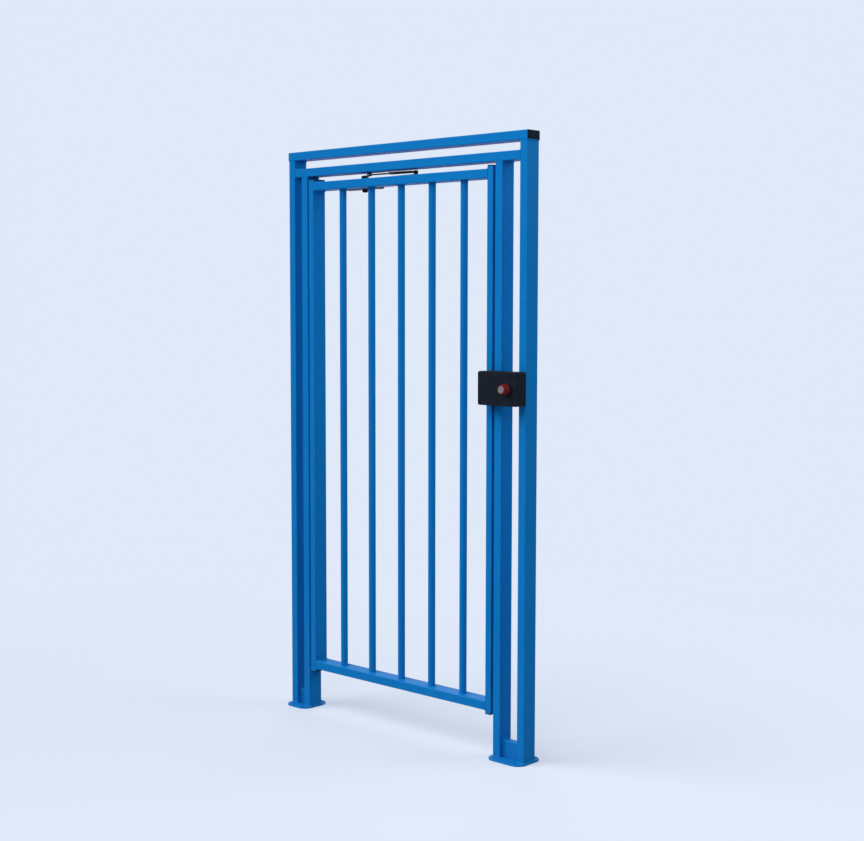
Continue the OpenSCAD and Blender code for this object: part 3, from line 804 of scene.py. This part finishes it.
class GateOperator(bpy.types.Operator):
    """Shared settings of the gate's operators."""

    bl_options = {"REGISTER", "UNDO"}

    def execute(self, context):
        self.build(context.scene.gate_sizes)
        return {"FINISHED"}


class GATE_OT_tubes(GateOperator):
    """Posts, rails, stiles and foot spacers as tubes with round corners and real walls"""

    bl_idname = "gate.tubes"
    bl_label = "Rectangular tubes"

    def build(self, sizes):
        upright, level = POSTS + STILES, FRAME_RAILS + LEAF_RAILS + SPACERS
        for node in upright + level:
            axes = UP if node in upright else RIGHT
            where = span(node)
            across, deep, long = axes @ where.size
            shape = rectangle(across, deep, sizes.tube_corner)
            make_piece(f"{node}_tube", "blue", [pipe(shape, long, sizes, where.middle, axes)], node)


class GATE_OT_bars(GateOperator):
    """Five round bars of the leaf"""

    bl_idname = "gate.bars"
    bl_label = "Round bars"

    def build(self, sizes):
        for node in BARS:
            where = span(node)
            across, _, long = where.size
            make_piece(f"{node}_round", "blue", [pipe(circle(across / 2), long, sizes, where.middle)], node)


class GATE_OT_plates(GateOperator):
    """Base plates with round corners, softened edges and drilled anchor holes"""

    bl_idname = "gate.plates"
    bl_label = "Base plates"

    def build(self, sizes):
        for node in PLATES:
            where = span(node)
            width, depth, thick = where.size
            foot = np.array([*where.middle[:2], where.low[2]])
            shape = rectangle(width, depth, sizes.plate_corner, WIDE_CORNER_STEPS)
            plate = block(shape, soft_rims(0, thick, sizes.plate_under, sizes.plate_edge), foot)
            reach = np.array([width / 2 - sizes.anchor_side, depth / 2 - sizes.anchor_edge, 0])
            holes = [
                drilling(sizes.anchor_radius, -thick, 2 * thick, foot + reach * (*corner, 0))
                for corner in CORNERS
            ]
            make_piece(f"{node}_drilled", "blue", [plate], node, holes=holes)


class GATE_OT_caps(GateOperator):
    """Black caps on the top rail's ends and plugs in the stiles' ends"""

    bl_idname = "gate.caps"
    bl_label = "Caps and plugs"

    facing = {
        "hinge_side_rail_cap": LEFT, "latch_side_rail_cap": RIGHT,
        "hinge_stile_top_plug": UP, "hinge_stile_bottom_plug": DOWN,
        "latch_stile_top_plug": UP, "latch_stile_bottom_plug": DOWN,
    }

    def build(self, sizes):
        edge, seat = sizes.cap_edge, -sizes.cap_flange
        slim = 2 * (sizes.tube_wall + sizes.plug_play)
        rim = soft_rims(seat, -sizes.cap_crown, CRISP, edge)
        section = np.vstack([rim, [(2 * edge, -sizes.cap_shoulder), (4 * edge, 0)]])
        for node, axes in self.facing.items():
            where = span(node)
            across, deep, long = np.abs(axes @ where.size)
            outer = where.middle + axes[2] * where.size / 2
            flange = block(rectangle(across, deep, sizes.tube_corner), section, outer, axes)
            shape = rectangle(across - slim, deep - slim, sizes.tube_corner - sizes.tube_wall)
            stub = block(shape, soft_rims(-long, seat, SOFT, TIGHT), outer, axes)
            make_piece(f"{node}_moulded", "plastic", [flange, stub], node)


class GATE_OT_hinges(GateOperator):
    """Lift-off hinges: plate, knuckle with rounded ends and pin"""

    bl_idname = "gate.hinges"
    bl_label = "Hinges"

    def build(self, sizes):
        axis = joint_place("leaf_swing")[:2]
        for i in HINGES:
            post, leaf = f"post_hinge_{i}", f"leaf_hinge_{i}"
            fixed, swung = span(post), span(leaf)
            tall = swung.size[2]
            pin = soft_disc(sizes.pin_radius, 0, fixed.size[2] - tall, TIGHT, sizes.pin_edge)
            half = self.half(sizes, fixed.low, tall, axis, fixed.low[0], axis[0])
            make_piece(f"{post}_half", "blue", [*half, turned(pin, (*axis, fixed.low[2] + tall))], post)
            half = self.half(sizes, swung.low, tall, axis, axis[0], swung.high[0])
            make_piece(f"{leaf}_half", "blue", half, leaf)

    def half(self, sizes, low, tall, axis, left, right):
        """Plate against the tube's back and a turned knuckle."""
        plate = block(
            rectangle(right - left, tall, sizes.hinge_corner), soft_rims(0, sizes.hinge_plate, CRISP, SOFT),
            ((left + right) / 2, low[1], low[2] + tall / 2), BACK_LEVEL,
        )
        knuckle = turned(soft_disc(sizes.knuckle_radius, 0, tall, sizes.knuckle_edge), (*axis, low[2]))
        return [plate, knuckle]


class GATE_OT_welds(GateOperator):
    """Rippled weld beads wherever two painted pieces of one body meet"""

    bl_idname = "gate.welds"
    bl_label = "Weld beads"

    # Posts in the order of their upper beads
    outer_first = (0, 3, 1, 2)

    # Step of the seed from bead to bead, and the beads on bars and hinges as shares of a full one
    seed_step = 1.7
    bar_share = 0.72
    hinge_share = 0.6

    # Least share of a hinge's bead, and the distance at which it stops from the hinge's axis
    hinge_fade = 0.05
    knuckle_room = 6 * MM

    def build(self, sizes):
        self.sizes = sizes
        self.seed = 0.0
        ends = (-1, 1)
        beside, above = self.seam(0), self.seam(1)
        feet = [self.end_bead(node, -1, UP, self.fillet()) for node in POSTS]
        feet += [self.end_bead(node, end, RIGHT, self.fillet()) for node in SPACERS for end in ends]
        heads = [self.end_bead(POSTS[i], 1, UP, beside) for i in self.outer_first]
        heads += [self.end_bead("header_rail", end, RIGHT, above) for end in ends]
        corners = [self.end_bead(node, end, RIGHT, above) for node in LEAF_RAILS for end in ends]
        slim = self.fillet(self.bar_share)
        bars = [self.end_bead(node, end, UP, slim) for node in BARS for end in ends]
        fixed, swung = (
            [self.plate_bead(f"{side}_hinge_{i}", toward) for i in HINGES]
            for side, toward in (("post", -1), ("leaf", 1))
        )
        for name, parts, body in (
            ("foot_welds", feet, "frame"), ("head_welds", heads, "frame"),
            ("leaf_corner_welds", corners, "leaf"), ("bar_welds", bars, "leaf"),
            ("post_hinge_welds", fixed, "frame"), ("leaf_hinge_welds", swung, "leaf"),
        ):
            make_piece(name, "weld", parts, body=body)

    def fillet(self, part=1.0):
        """Leg of a fillet, the same all round."""
        return lambda out: np.full(len(out), part * self.sizes.weld_size)

    def seam(self, axis):
        """Leg of a seam: a full fillet on the faces across one axis of its outline, flush on the others."""
        flush, full = self.sizes.weld_flush, self.sizes.weld_size
        return lambda out: flush + (full - flush) * out[:, axis] ** 2

    def bead(self, shape, place, axes, leg):
        """Bead with a seed of its own."""
        self.seed += self.seed_step
        return weld(shape, place, axes, leg, self.sizes.weld_pitch, self.seed)

    def end_bead(self, node, end, axes, leg):
        """Bead round the lower or left end (-1) or the upper or right end (1) of a tube or a bar."""
        where = span(node)
        across, deep, _ = axes @ where.size
        shape = circle(across / 2) if node in BARS else rectangle(across, deep, self.sizes.tube_corner)
        return self.bead(shape, where.middle + end * axes[2] * where.size / 2, axes, leg)

    def plate_bead(self, node, toward):
        """Bead round a hinge plate on the left (-1) or the right (1), which fades out at the knuckle."""
        where = span(node)
        tall = span(node.replace("post", "leaf")).size[2]
        stop = joint_place("leaf_swing")[0] + toward * self.knuckle_room
        left, right = (where.low[0], stop) if toward < 0 else (stop, where.high[0])
        size, fade = self.hinge_share * self.sizes.weld_size, self.hinge_fade
        shape = rectangle(right - left, tall, self.sizes.hinge_corner)
        place = ((left + right) / 2, where.low[1], where.low[2] + tall / 2)
        return self.bead(
            shape, place, FRONT, lambda out: size * np.clip(1 + fade + toward * out[:, 0], fade, 1)
        )


class GATE_OT_closer(GateOperator):
    """Closer's body with its end plugs, boss, screws and pinion cap"""

    bl_idname = "gate.closer"
    bl_label = "Closer body"

    # End plugs and boss: rims, depth inside the body, and the plugs' dish as radius and depth
    plug_rim, boss_rim = 1.2 * MM, 1 * MM
    plug_root, boss_root = 3 * MM, 8 * MM
    plug_dish = np.array([(9, 0), (8.6, -0.5)]) * MM

    # Fixing screws from the body's ends and its middle, and valve screws from the body's ends
    screw_inset, screw_share, valve_seat = 14 * MM, 0.26, 3.6 * MM

    # Flat middle of the pinion cap as a share of its radius
    cap_flat = 0.45

    def build(self, sizes):
        where = span("closer_body")
        spindle = joint_place("main_arm_turn")
        top = span("leaf_top_rail").high[2]
        tall, proud, radius = top - where.low[2], sizes.plug_proud, sizes.closer_plug
        left, right = where.low[0] + proud, where.high[0] - proud
        middle = (where.middle[1], (top + where.low[2]) / 2)
        corners = (sizes.closer_edge, sizes.closer_seat, sizes.closer_seat, sizes.closer_edge)
        shape = rectangle(where.size[1], tall, corners)
        body = block(shape, soft_rims(0, right - left, sizes.closer_rim), (left, *middle), RIGHT)
        boss = soft_disc(radius, -self.boss_root, where.high[2] - top, TIGHT, self.boss_rim)
        rim = soft_disc(radius, -self.plug_root, proud, TIGHT, self.plug_rim)
        plug = np.vstack([rim, self.plug_dish + (0, proud)])
        parts = [body, turned(boss, (*spindle[:2], top))]
        parts += [turned(plug, (x, *middle), axes) for x, axes in ((left, LEFT), (right, RIGHT))]
        make_piece("closer_casting", "enamel", parts, "closer_body")
        screws = [
            socket_screw("fixing", (x, where.high[1], middle[1] + side * self.screw_share * tall), BACK)
            for x in (left + self.screw_inset, right - self.screw_inset) for side in (-1, 1)
        ]
        screws += [
            socket_screw("valve", (x, *middle), axes)
            for x, axes in ((left - self.valve_seat, LEFT), (right + self.valve_seat, RIGHT))
        ]
        make_piece("closer_screws", "steel", screws, body="leaf")
        self.cap(sizes.pinion_edge)

    def cap(self, edge):
        """Turned cap under the body: a flat middle, a quarter circle and a straight side."""
        where = span("closer_pinion_cap")
        radius, tall = where.size[0] / 2, where.size[2]
        flat, round_rim = self.cap_flat * radius, arc((radius - edge, edge - tall), edge, -90, 0)
        profile = np.vstack([[(0, -tall), (flat, -tall)], round_rim, [(radius, 0)]])
        part = turned(profile, (*where.middle[:2], where.high[2]))
        make_piece("closer_pinion_cap_turned", "plastic", [part], "closer_pinion_cap")


class GATE_OT_arms(GateOperator):
    """Closer's two arms, elbow, spindle and the shoe under the header"""

    bl_idname = "gate.arms"
    bl_label = "Closer arms"

    # Neck of the forearm's eye over its half width, and clamp screws from the sleeve's mouth
    neck_share = 1.5
    clamp_places = (9 * MM, 21 * MM)

    # How far the rod's hole starts before the sleeve's mouth and runs on past the rod
    hole_start, hole_end = 2 * MM, 3 * MM

    # Rod: its start from the shoe's pin, the taper there, and the play in its eye
    rod_start, rod_taper, rod_tip, eye_play = 10 * MM, 1 * MM, 0.8, 0.3 * MM

    # Thread: length, pitch, half depth, rings in one pitch, and how far it stays out of the sleeve
    thread, pitch, cut, pitch_rings, runout = 30 * MM, 1.25 * MM, 0.2 * MM, 4, 1 * MM

    def build(self, sizes):
        hinge, spindle, shoe = (joint_place(n) for n in ("leaf_swing", "main_arm_turn", "forearm_turn"))
        elbow = spindle + shoe - hinge
        self.main_arm(sizes, spindle, elbow)
        self.forearm(sizes, shoe, elbow)
        self.shoe(sizes, shoe)

    def along(self, start, end):
        """Axes with x from start to end in plan and z up, and the distance between them."""
        run = (end - start)[:2]
        reach = np.linalg.norm(run)
        x, y = run / reach
        return np.array([[x, y, 0], [-y, x, 0], [0, 0, 1]]), reach

    def main_arm(self, sizes, spindle, elbow):
        """Tapered blade with a tall hub on the spindle, and the elbow's boss, pin and head."""
        where, shaft = span("closer_main_arm"), span("closer_spindle")
        axes, reach = self.along(spindle, elbow)
        base, half, step = where.low[2], sizes.arm_thick / 2, sizes.boss_step
        level = span("closer_forearm").middle[2] - base
        boss_top, head_low = level - half - sizes.link_gap, level + half + sizes.link_gap
        at_spindle, at_elbow = (*spindle[:2], base), (*elbow[:2], base)
        shape = tapered(reach, sizes.hub_radius, sizes.arm_slim)
        blade = block(shape, soft_rims(0, sizes.arm_thick, sizes.arm_edge), at_spindle, axes)
        hub = soft_disc(sizes.hub_radius - step, half, shaft.high[2] - base, TIGHT, sizes.hub_edge)
        boss = soft_disc(sizes.arm_slim - step, half, boss_top, TIGHT, SOFT)
        pin = soft_disc(sizes.link_pin, half, head_low + TIGHT, TIGHT)
        head = soft_disc(sizes.link_head, head_low, where.size[2], FINE, SOFT)
        parts = [blade, turned(hub, at_spindle), *(turned(p, at_elbow) for p in (boss, pin, head))]
        make_piece("closer_main_arm_forged", "enamel", parts, "closer_main_arm")
        proud = sizes.spindle_proud
        stem = soft_disc(sizes.spindle_radius, 0, shaft.size[2] + proud, proud)
        screw = socket_screw("spindle", (*spindle[:2], shaft.high[2] + proud), UP)
        parts = [turned(stem, (*spindle[:2], shaft.low[2])), screw]
        make_piece("closer_spindle_screwed", "steel", parts, "closer_spindle")

    def forearm(self, sizes, shoe, elbow):
        """Sleeve from its mouth to the elbow, the flat eye at its end, two clamp screws and the rod."""
        where = span("closer_forearm")
        axes, reach = self.along(shoe, elbow)
        lengthwise, sideways = axes[[1, 2, 0]], np.array([axes[0], axes[2], -axes[1]])
        level, thick, slim = where.middle[2], sizes.arm_thick, sizes.arm_slim
        neck, half_width = self.neck_share * slim, slim + sizes.sleeve_side
        pin, tip = (np.array([*place[:2], level]) for place in (shoe, elbow))
        start = reach - sizes.sleeve_length
        mouth = pin + axes[0] * start
        shape = rectangle(2 * half_width, where.size[2], sizes.sleeve_corner)
        section = soft_rims(0, sizes.sleeve_length - neck, sizes.sleeve_mouth, sizes.sleeve_neck)
        hole = drilling(
            sizes.rod_radius + sizes.rod_play, -self.hole_start, sizes.rod_grip + self.hole_end,
            mouth, lengthwise, ROUND_STEPS // 2,
        )
        sleeve = block(shape, section, mouth, lengthwise)
        make_piece("closer_forearm_sleeve", "enamel", [sleeve], "closer_forearm", holes=[hole])
        section = soft_rims(-thick / 2, thick / 2, sizes.arm_edge)
        eye = block(tapered(2 * neck, slim, slim), section, tip - axes[0] * 2 * neck, axes)
        bore = drilling(sizes.link_pin + sizes.elbow_play, -thick, thick, tip, steps=ROUND_STEPS)
        make_piece("closer_forearm_eye", "enamel", [eye], body="forearm", holes=[bore])
        side = mouth - axes[1] * half_width
        clamps = [socket_screw("clamp", side + axes[0] * place, sideways) for place in self.clamp_places]
        make_piece("closer_clamp_screws", "steel", clamps, body="forearm")
        self.rod(sizes, pin, axes, start)

    def rod(self, sizes, pin, axes, mouth):
        """Rod whose radius ripples as a cosine along a fine thread before the sleeve, and the rod's eye."""
        radius, thick, thread = sizes.rod_radius, sizes.arm_thick, mouth - self.thread
        along = np.arange(0, self.thread, self.pitch / self.pitch_rings)
        grooves = radius - self.cut * (1 - np.cos(FULL_TURN * along / self.pitch))
        profile = np.vstack([
            (self.rod_tip * radius, self.rod_start), (radius, self.rod_start + self.rod_taper),
            (radius, thread - self.cut), np.stack([grooves, thread + along], axis=1),
            (radius, mouth + self.runout), (radius, mouth + sizes.rod_grip),
        ])
        bar = turned(profile, pin, axes[[1, 2, 0]], HOLE_STEPS)
        make_piece("closer_rod_threaded", "steel", [bar], "closer_forearm_rod")
        eye = block(circle(sizes.rod_eye), soft_rims(-thick / 2, thick / 2, SOFT), pin, axes)
        bore = drilling(sizes.link_pin + self.eye_play, -2 * thick, 2 * thick, pin)
        make_piece("closer_rod_eye", "steel", [eye], body="forearm", holes=[bore])

    def shoe(self, sizes, pin):
        """Round flange under the header, a short boss, the forearm's pin and its head."""
        where = span("closer_shoe")
        low, high, head = where.low[2], where.high[2], sizes.shoe_head
        seat = high - sizes.shoe_flange
        top = span("closer_forearm").middle[2] + sizes.arm_thick / 2 + sizes.link_gap
        profiles = (
            soft_disc(where.size[0] / 2, seat, high, SOFT, TIGHT),
            soft_disc(sizes.link_head, top, seat + TIGHT, FINE, TIGHT),
            soft_disc(sizes.link_pin, low + head / 2, seat, TIGHT),
            soft_disc(sizes.link_head, low, low + head, sizes.shoe_edge, FINE),
        )
        parts = [turned(profile, (*pin[:2], 0)) for profile in profiles]
        make_piece("closer_shoe_turned", "enamel", parts, "closer_shoe")


def back_of(node):
    """Middle of a node's back face, where a piece that faces the front starts."""
    where = span(node)
    return np.array([where.middle[0], where.high[1], where.middle[2]])


class GATE_OT_lock(GateOperator):
    """Lock case, cover, back plate and their screws"""

    bl_idname = "gate.lock"
    bl_label = "Lock case"

    # How far the knob's pocket goes into the case and its core stands out of it, and the points
    # along the cover's corners
    pocket_deep, pocket_out = 22 * MM, 5 * MM
    cover_steps = 17

    def build(self, sizes):
        knob = span("push_knob").middle
        front = (knob[0], span("lock_case").low[1], knob[2])
        pocket = drilling(sizes.knob_hole, -self.pocket_deep, self.pocket_out, front, FRONT, ROUND_STEPS)
        self.box(sizes, "lock_back_plate", CRISP, FINE)
        self.box(sizes, "lock_case", SOFT, sizes.lock_edge, [pocket])
        self.cover(sizes, knob)

    def box(self, sizes, node, back_edge, front_edge, holes=()):
        """Rounded rectangle from a node's back to its front."""
        width, depth, tall = span(node).size
        shape = rectangle(width, tall, sizes.lock_corner)
        part = block(shape, soft_rims(0, depth, back_edge, front_edge), back_of(node), FRONT)
        make_piece(f"{node}_folded", "lock", [part], node, holes=holes)

    def cover(self, sizes, knob):
        """Cover as one ring from the knob's hole out to its rounded rim and back behind."""
        where, back = span("lock_cover"), back_of("lock_cover")
        width, depth, tall = where.size
        shape = rectangle(width, tall, sizes.lock_corner, self.cover_steps)
        outer = rings(shape, soft_rims(0, depth, CRISP, sizes.cover_edge))
        hole = (knob[0] - back[0], 0) + sizes.knob_hole * shape.normal
        inner = raised(np.stack([hole, hole]), (depth, 0))
        part = put(skin(np.vstack([outer, inner]), loop=True), back, FRONT)
        make_piece("lock_cover_pressed", "lock", [part], "lock_cover")
        reach = np.array([width / 2 - sizes.cover_inset, -depth, tall / 2 - sizes.cover_inset])
        places = [back + reach * (across, 1, up) for across in (-1, 1) for up in (-1, 1)]
        screws = [socket_screw("cover", place, FRONT) for place in places]
        make_piece("lock_cover_screws", "lock_plastic", screws, body="frame")


class GATE_OT_knob(GateOperator):
    """Push knob with grip flutes, its silver face and the collar on the cover"""

    bl_idname = "gate.knob"
    bl_label = "Push knob"

    # Length of the knob's head and its rim, and radii of its rim, front, stem and edges
    head_long, rim_long = 26 * MM, 6 * MM
    rim, front, stem, edge = 20 * MM, 13.5 * MM, 12 * MM, 2 * MM

    # Steps of the profiles as radius and height: at the stem's end, on the rim, at both ends of the
    # cone, in the seat of the face, in the face's dish and at the collar's mouth
    stem_steps = np.array([(0, -0.3), (0.4, 0)]) * MM
    rim_steps = np.array([(0, -1), (0, 0), (-0.35, 1)]) * MM
    cone_ends = np.array([(-0.8, 2), (0.2, -0.6)]) * MM
    seat_steps = np.array([(-0.6, 0), (-1, -0.4)]) * MM
    face_dish = np.array([(8.2, 0), (7.6, -0.6), (4, -0.7), (0, -0.6)]) * MM
    mouth_steps = np.array([(0.6, 0), (0, -0.6)]) * MM

    # Rings along the cone, points in one flute, and the face's edge and its depth in the knob
    cone_rings, flute_steps = 8, 12
    face_edge, face_root = 0.7 * MM, 0.5 * MM

    def build(self, sizes):
        self.collar(sizes.collar_bore, sizes.collar_edge)
        self.head(sizes)
        self.face()

    def collar(self, bore, edge):
        """Turned ring: out along the cover, round its front edge and back down its bore."""
        size = span("knob_collar").size
        radius, thick = size[0] / 2, size[1]
        round_edge = arc((radius - edge, thick - edge), edge, 0, 90)
        profile = np.vstack([(bore, 0), (radius, 0), round_edge, (bore, thick) + self.mouth_steps])
        part = turned(profile, back_of("knob_collar"), FRONT, loop=True)
        make_piece("knob_collar_turned", "lock_plastic", [part], "knob_collar")

    def head(self, sizes):
        """Head of the knob: the radius follows the turned profile, less a flute that is deepest where
        the rim is widest and repeats round the axis."""
        rim, front, stem, edge = self.rim, self.front, self.stem, self.edge
        total = span("push_knob").size[1]
        back = total - self.head_long
        shoulder = back + self.rim_long
        cone = np.array([(rim, shoulder), (front + edge, total - edge)]) + self.cone_ends
        profile = np.vstack([
            (stem, 0), (stem, back) + self.stem_steps, arc((rim - edge, back + edge), edge, -90, 0),
            (rim, shoulder) + self.rim_steps, np.linspace(*cone, self.cone_rings),
            arc((front, total - edge), edge, 0, 90), (front, total) + self.seat_steps,
        ])
        steps = sizes.knob_flutes * self.flute_steps
        flute = ((1 + np.cos(sizes.knob_flutes * angles(steps))) / 2) ** 2
        grip = np.clip((profile[:, :1] - front - edge) / (rim - front - edge), 0, 1)
        radii = profile[:, :1] - sizes.knob_flute * grip * flute
        part = put(skin(polar_rings(radii, profile[:, 1], steps)), back_of("push_knob"), FRONT)
        make_piece("push_knob_fluted", "red", [part], "push_knob")

    def face(self):
        """Turned disc with a rounded edge and a shallow dish."""
        size, edge = span("push_knob_face").size, self.face_edge
        radius, thick = size[0] / 2, size[1]
        round_edge = arc((radius - edge, thick - edge), edge, 0, 90)
        profile = np.vstack([
            (radius, -self.face_root), (radius, thick / 2), round_edge, self.face_dish + (0, thick)
        ])
        part = turned(profile, back_of("push_knob_face"), FRONT)
        make_piece("push_knob_face_turned", "silver", [part], "push_knob_face")


# Stage

class GATE_OT_stage(bpy.types.Operator):
    """Camera, soft lamps, even light and the pale floor"""

    bl_idname = "gate.stage"
    bl_label = "Stage"

    def execute(self, context):
        stage = context.scene.gate_stage
        context.scene.view_settings.view_transform = "Standard"
        context.scene.camera = self.camera(stage)
        context.scene.world = self.surroundings(stage)
        self.lamps(stage)
        self.floor(stage)
        return {"FINISHED"}

    def camera(self, stage):
        """Camera at its place, turned by its pitch, roll and yaw from straight down."""
        data = bpy.data.cameras.new("picture_camera")
        data.sensor_width = stage.sensor
        data.lens = stage.lens
        camera = new_object("picture_camera", data)
        camera.location = stage.camera_place
        camera.rotation_euler = (QUARTER - stage.camera_pitch, stage.camera_roll, stage.camera_yaw)
        return camera

    def lamps(self, stage):
        """Square lamps high in front and behind on both sides, and broad light from the front left."""
        for name, power, place in (
            ("key_lamp", stage.key, stage.key_place), ("fill_lamp", stage.fill, stage.fill_place),
            ("back_lamp", stage.back, stage.back_place),
        ):
            light = bpy.data.lights.new(name, "AREA")
            light.energy = power
            light.size = stage.lamp_size
            lamp = new_object(name, light)
            lamp.location = place
            aim = Vector(stage.lamp_aim) - Vector(place)
            lamp.rotation_euler = aim.to_track_quat("-Z", "Y").to_euler()
        light = bpy.data.lights.new("broad_light", "SUN")
        light.energy = stage.broad
        light.angle = stage.broad_spread
        lamp = new_object("broad_light", light)
        lamp.rotation_euler = (QUARTER - stage.broad_height, 0, -stage.broad_side)

    def seen(self, tree):
        """1 for rays from the camera, from gloss and through glass, otherwise 0."""
        path = add(tree, "ShaderNodeLightPath").outputs
        direct = maths(tree, "MAXIMUM", path["Is Camera Ray"], path["Is Glossy Ray"])
        return maths(tree, "MAXIMUM", direct, path["Is Transmission Ray"])

    def blend(self, tree, factor, first, second, output):
        """Mix of two shaders by a factor, linked to an output."""
        mix = add(tree, "ShaderNodeMixShader")
        for socket, value in zip(mix.inputs, (factor, first.outputs[0], second.outputs[0])):
            feed(tree, socket, value)
        add(tree, output, Surface=mix.outputs[0])

    def surroundings(self, stage):
        """Even white light on the gate, and the pale backdrop wherever it is seen."""
        world = bpy.data.worlds.new("even_light")
        world.use_nodes = True
        tree = world.node_tree
        tree.nodes.clear()
        light = add(tree, "ShaderNodeBackground", Color=(1, 1, 1, 1), Strength=stage.ambient)
        pale = add(tree, "ShaderNodeBackground", Color=opaque(stage.backdrop), Strength=1.0)
        self.blend(tree, self.seen(tree), light, pale, "ShaderNodeOutputWorld")
        return world

    def floor(self, stage):
        """Flat floor whose shading keeps the gate's shadow, with the rest of its colour given off evenly."""
        level = np.full(len(CORNERS), -stage.floor_drop)
        corners = np.column_stack([CORNERS * stage.floor_half, level])
        mesh = bpy.data.meshes.new("floor")
        mesh.from_pydata(corners.tolist(), [], [[0, 1, 2, 3]])
        floor = new_object("floor", mesh)
        paper = bpy.data.materials.new("pale_floor")
        paper.use_nodes = True
        tree = paper.node_tree
        tree.nodes.clear()
        seen = self.seen(tree)
        pale = mixed(tree, seen, opaque(stage.backdrop, stage.bounce), opaque(stage.backdrop))
        matt = add(tree, "ShaderNodeBsdfDiffuse", Color=pale)
        glow = add(tree, "ShaderNodeEmission", Color=opaque(stage.backdrop), Strength=1.0)
        away = distance(tree, object_place(tree, centre=(*np.mean(CAD_BOX, axis=0)[:2], 0)))
        reach = (stage.shadow_near, stage.shadow_far)
        even = spread(tree, away, (1 - stage.shadow_share, 1), reach)
        self.blend(tree, maths(tree, "MULTIPLY", seen, even), matt, glow, "ShaderNodeOutputMaterial")
        mesh.materials.append(paper)


STEPS = (
    GATE_OT_tubes, GATE_OT_bars, GATE_OT_plates, GATE_OT_caps, GATE_OT_hinges, GATE_OT_welds,
    GATE_OT_closer, GATE_OT_arms, GATE_OT_lock, GATE_OT_knob, GATE_OT_stage,
)


class GATE_PT_panel(bpy.types.Panel):
    """Sidebar panel with one button for each group of pieces"""

    bl_idname = "GATE_PT_panel"
    bl_label = "Pedestrian gate"
    bl_space_type = "VIEW_3D"
    bl_region_type = "UI"
    bl_category = "Gate"

    def draw(self, context):
        for step in STEPS:
            self.layout.operator(step.bl_idname)


GROUPS = {"gate_sizes": GateSizes, "gate_finish": GateFinish, "gate_stage": GateStage}
CLASSES = (*GROUPS.values(), *STEPS, GATE_PT_panel)


def register():
    for item in CLASSES:
        bpy.utils.register_class(item)
    for name, group in GROUPS.items():
        setattr(bpy.types.Scene, name, PointerProperty(type=group))


def unregister():
    for name in GROUPS:
        delattr(bpy.types.Scene, name)
    for item in reversed(CLASSES):
        bpy.utils.unregister_class(item)


def main():
    register()
    for step in STEPS:
        family, name = step.bl_idname.split(".")
        getattr(getattr(bpy.ops, family), name)()


if __name__ == "__main__":
    main()
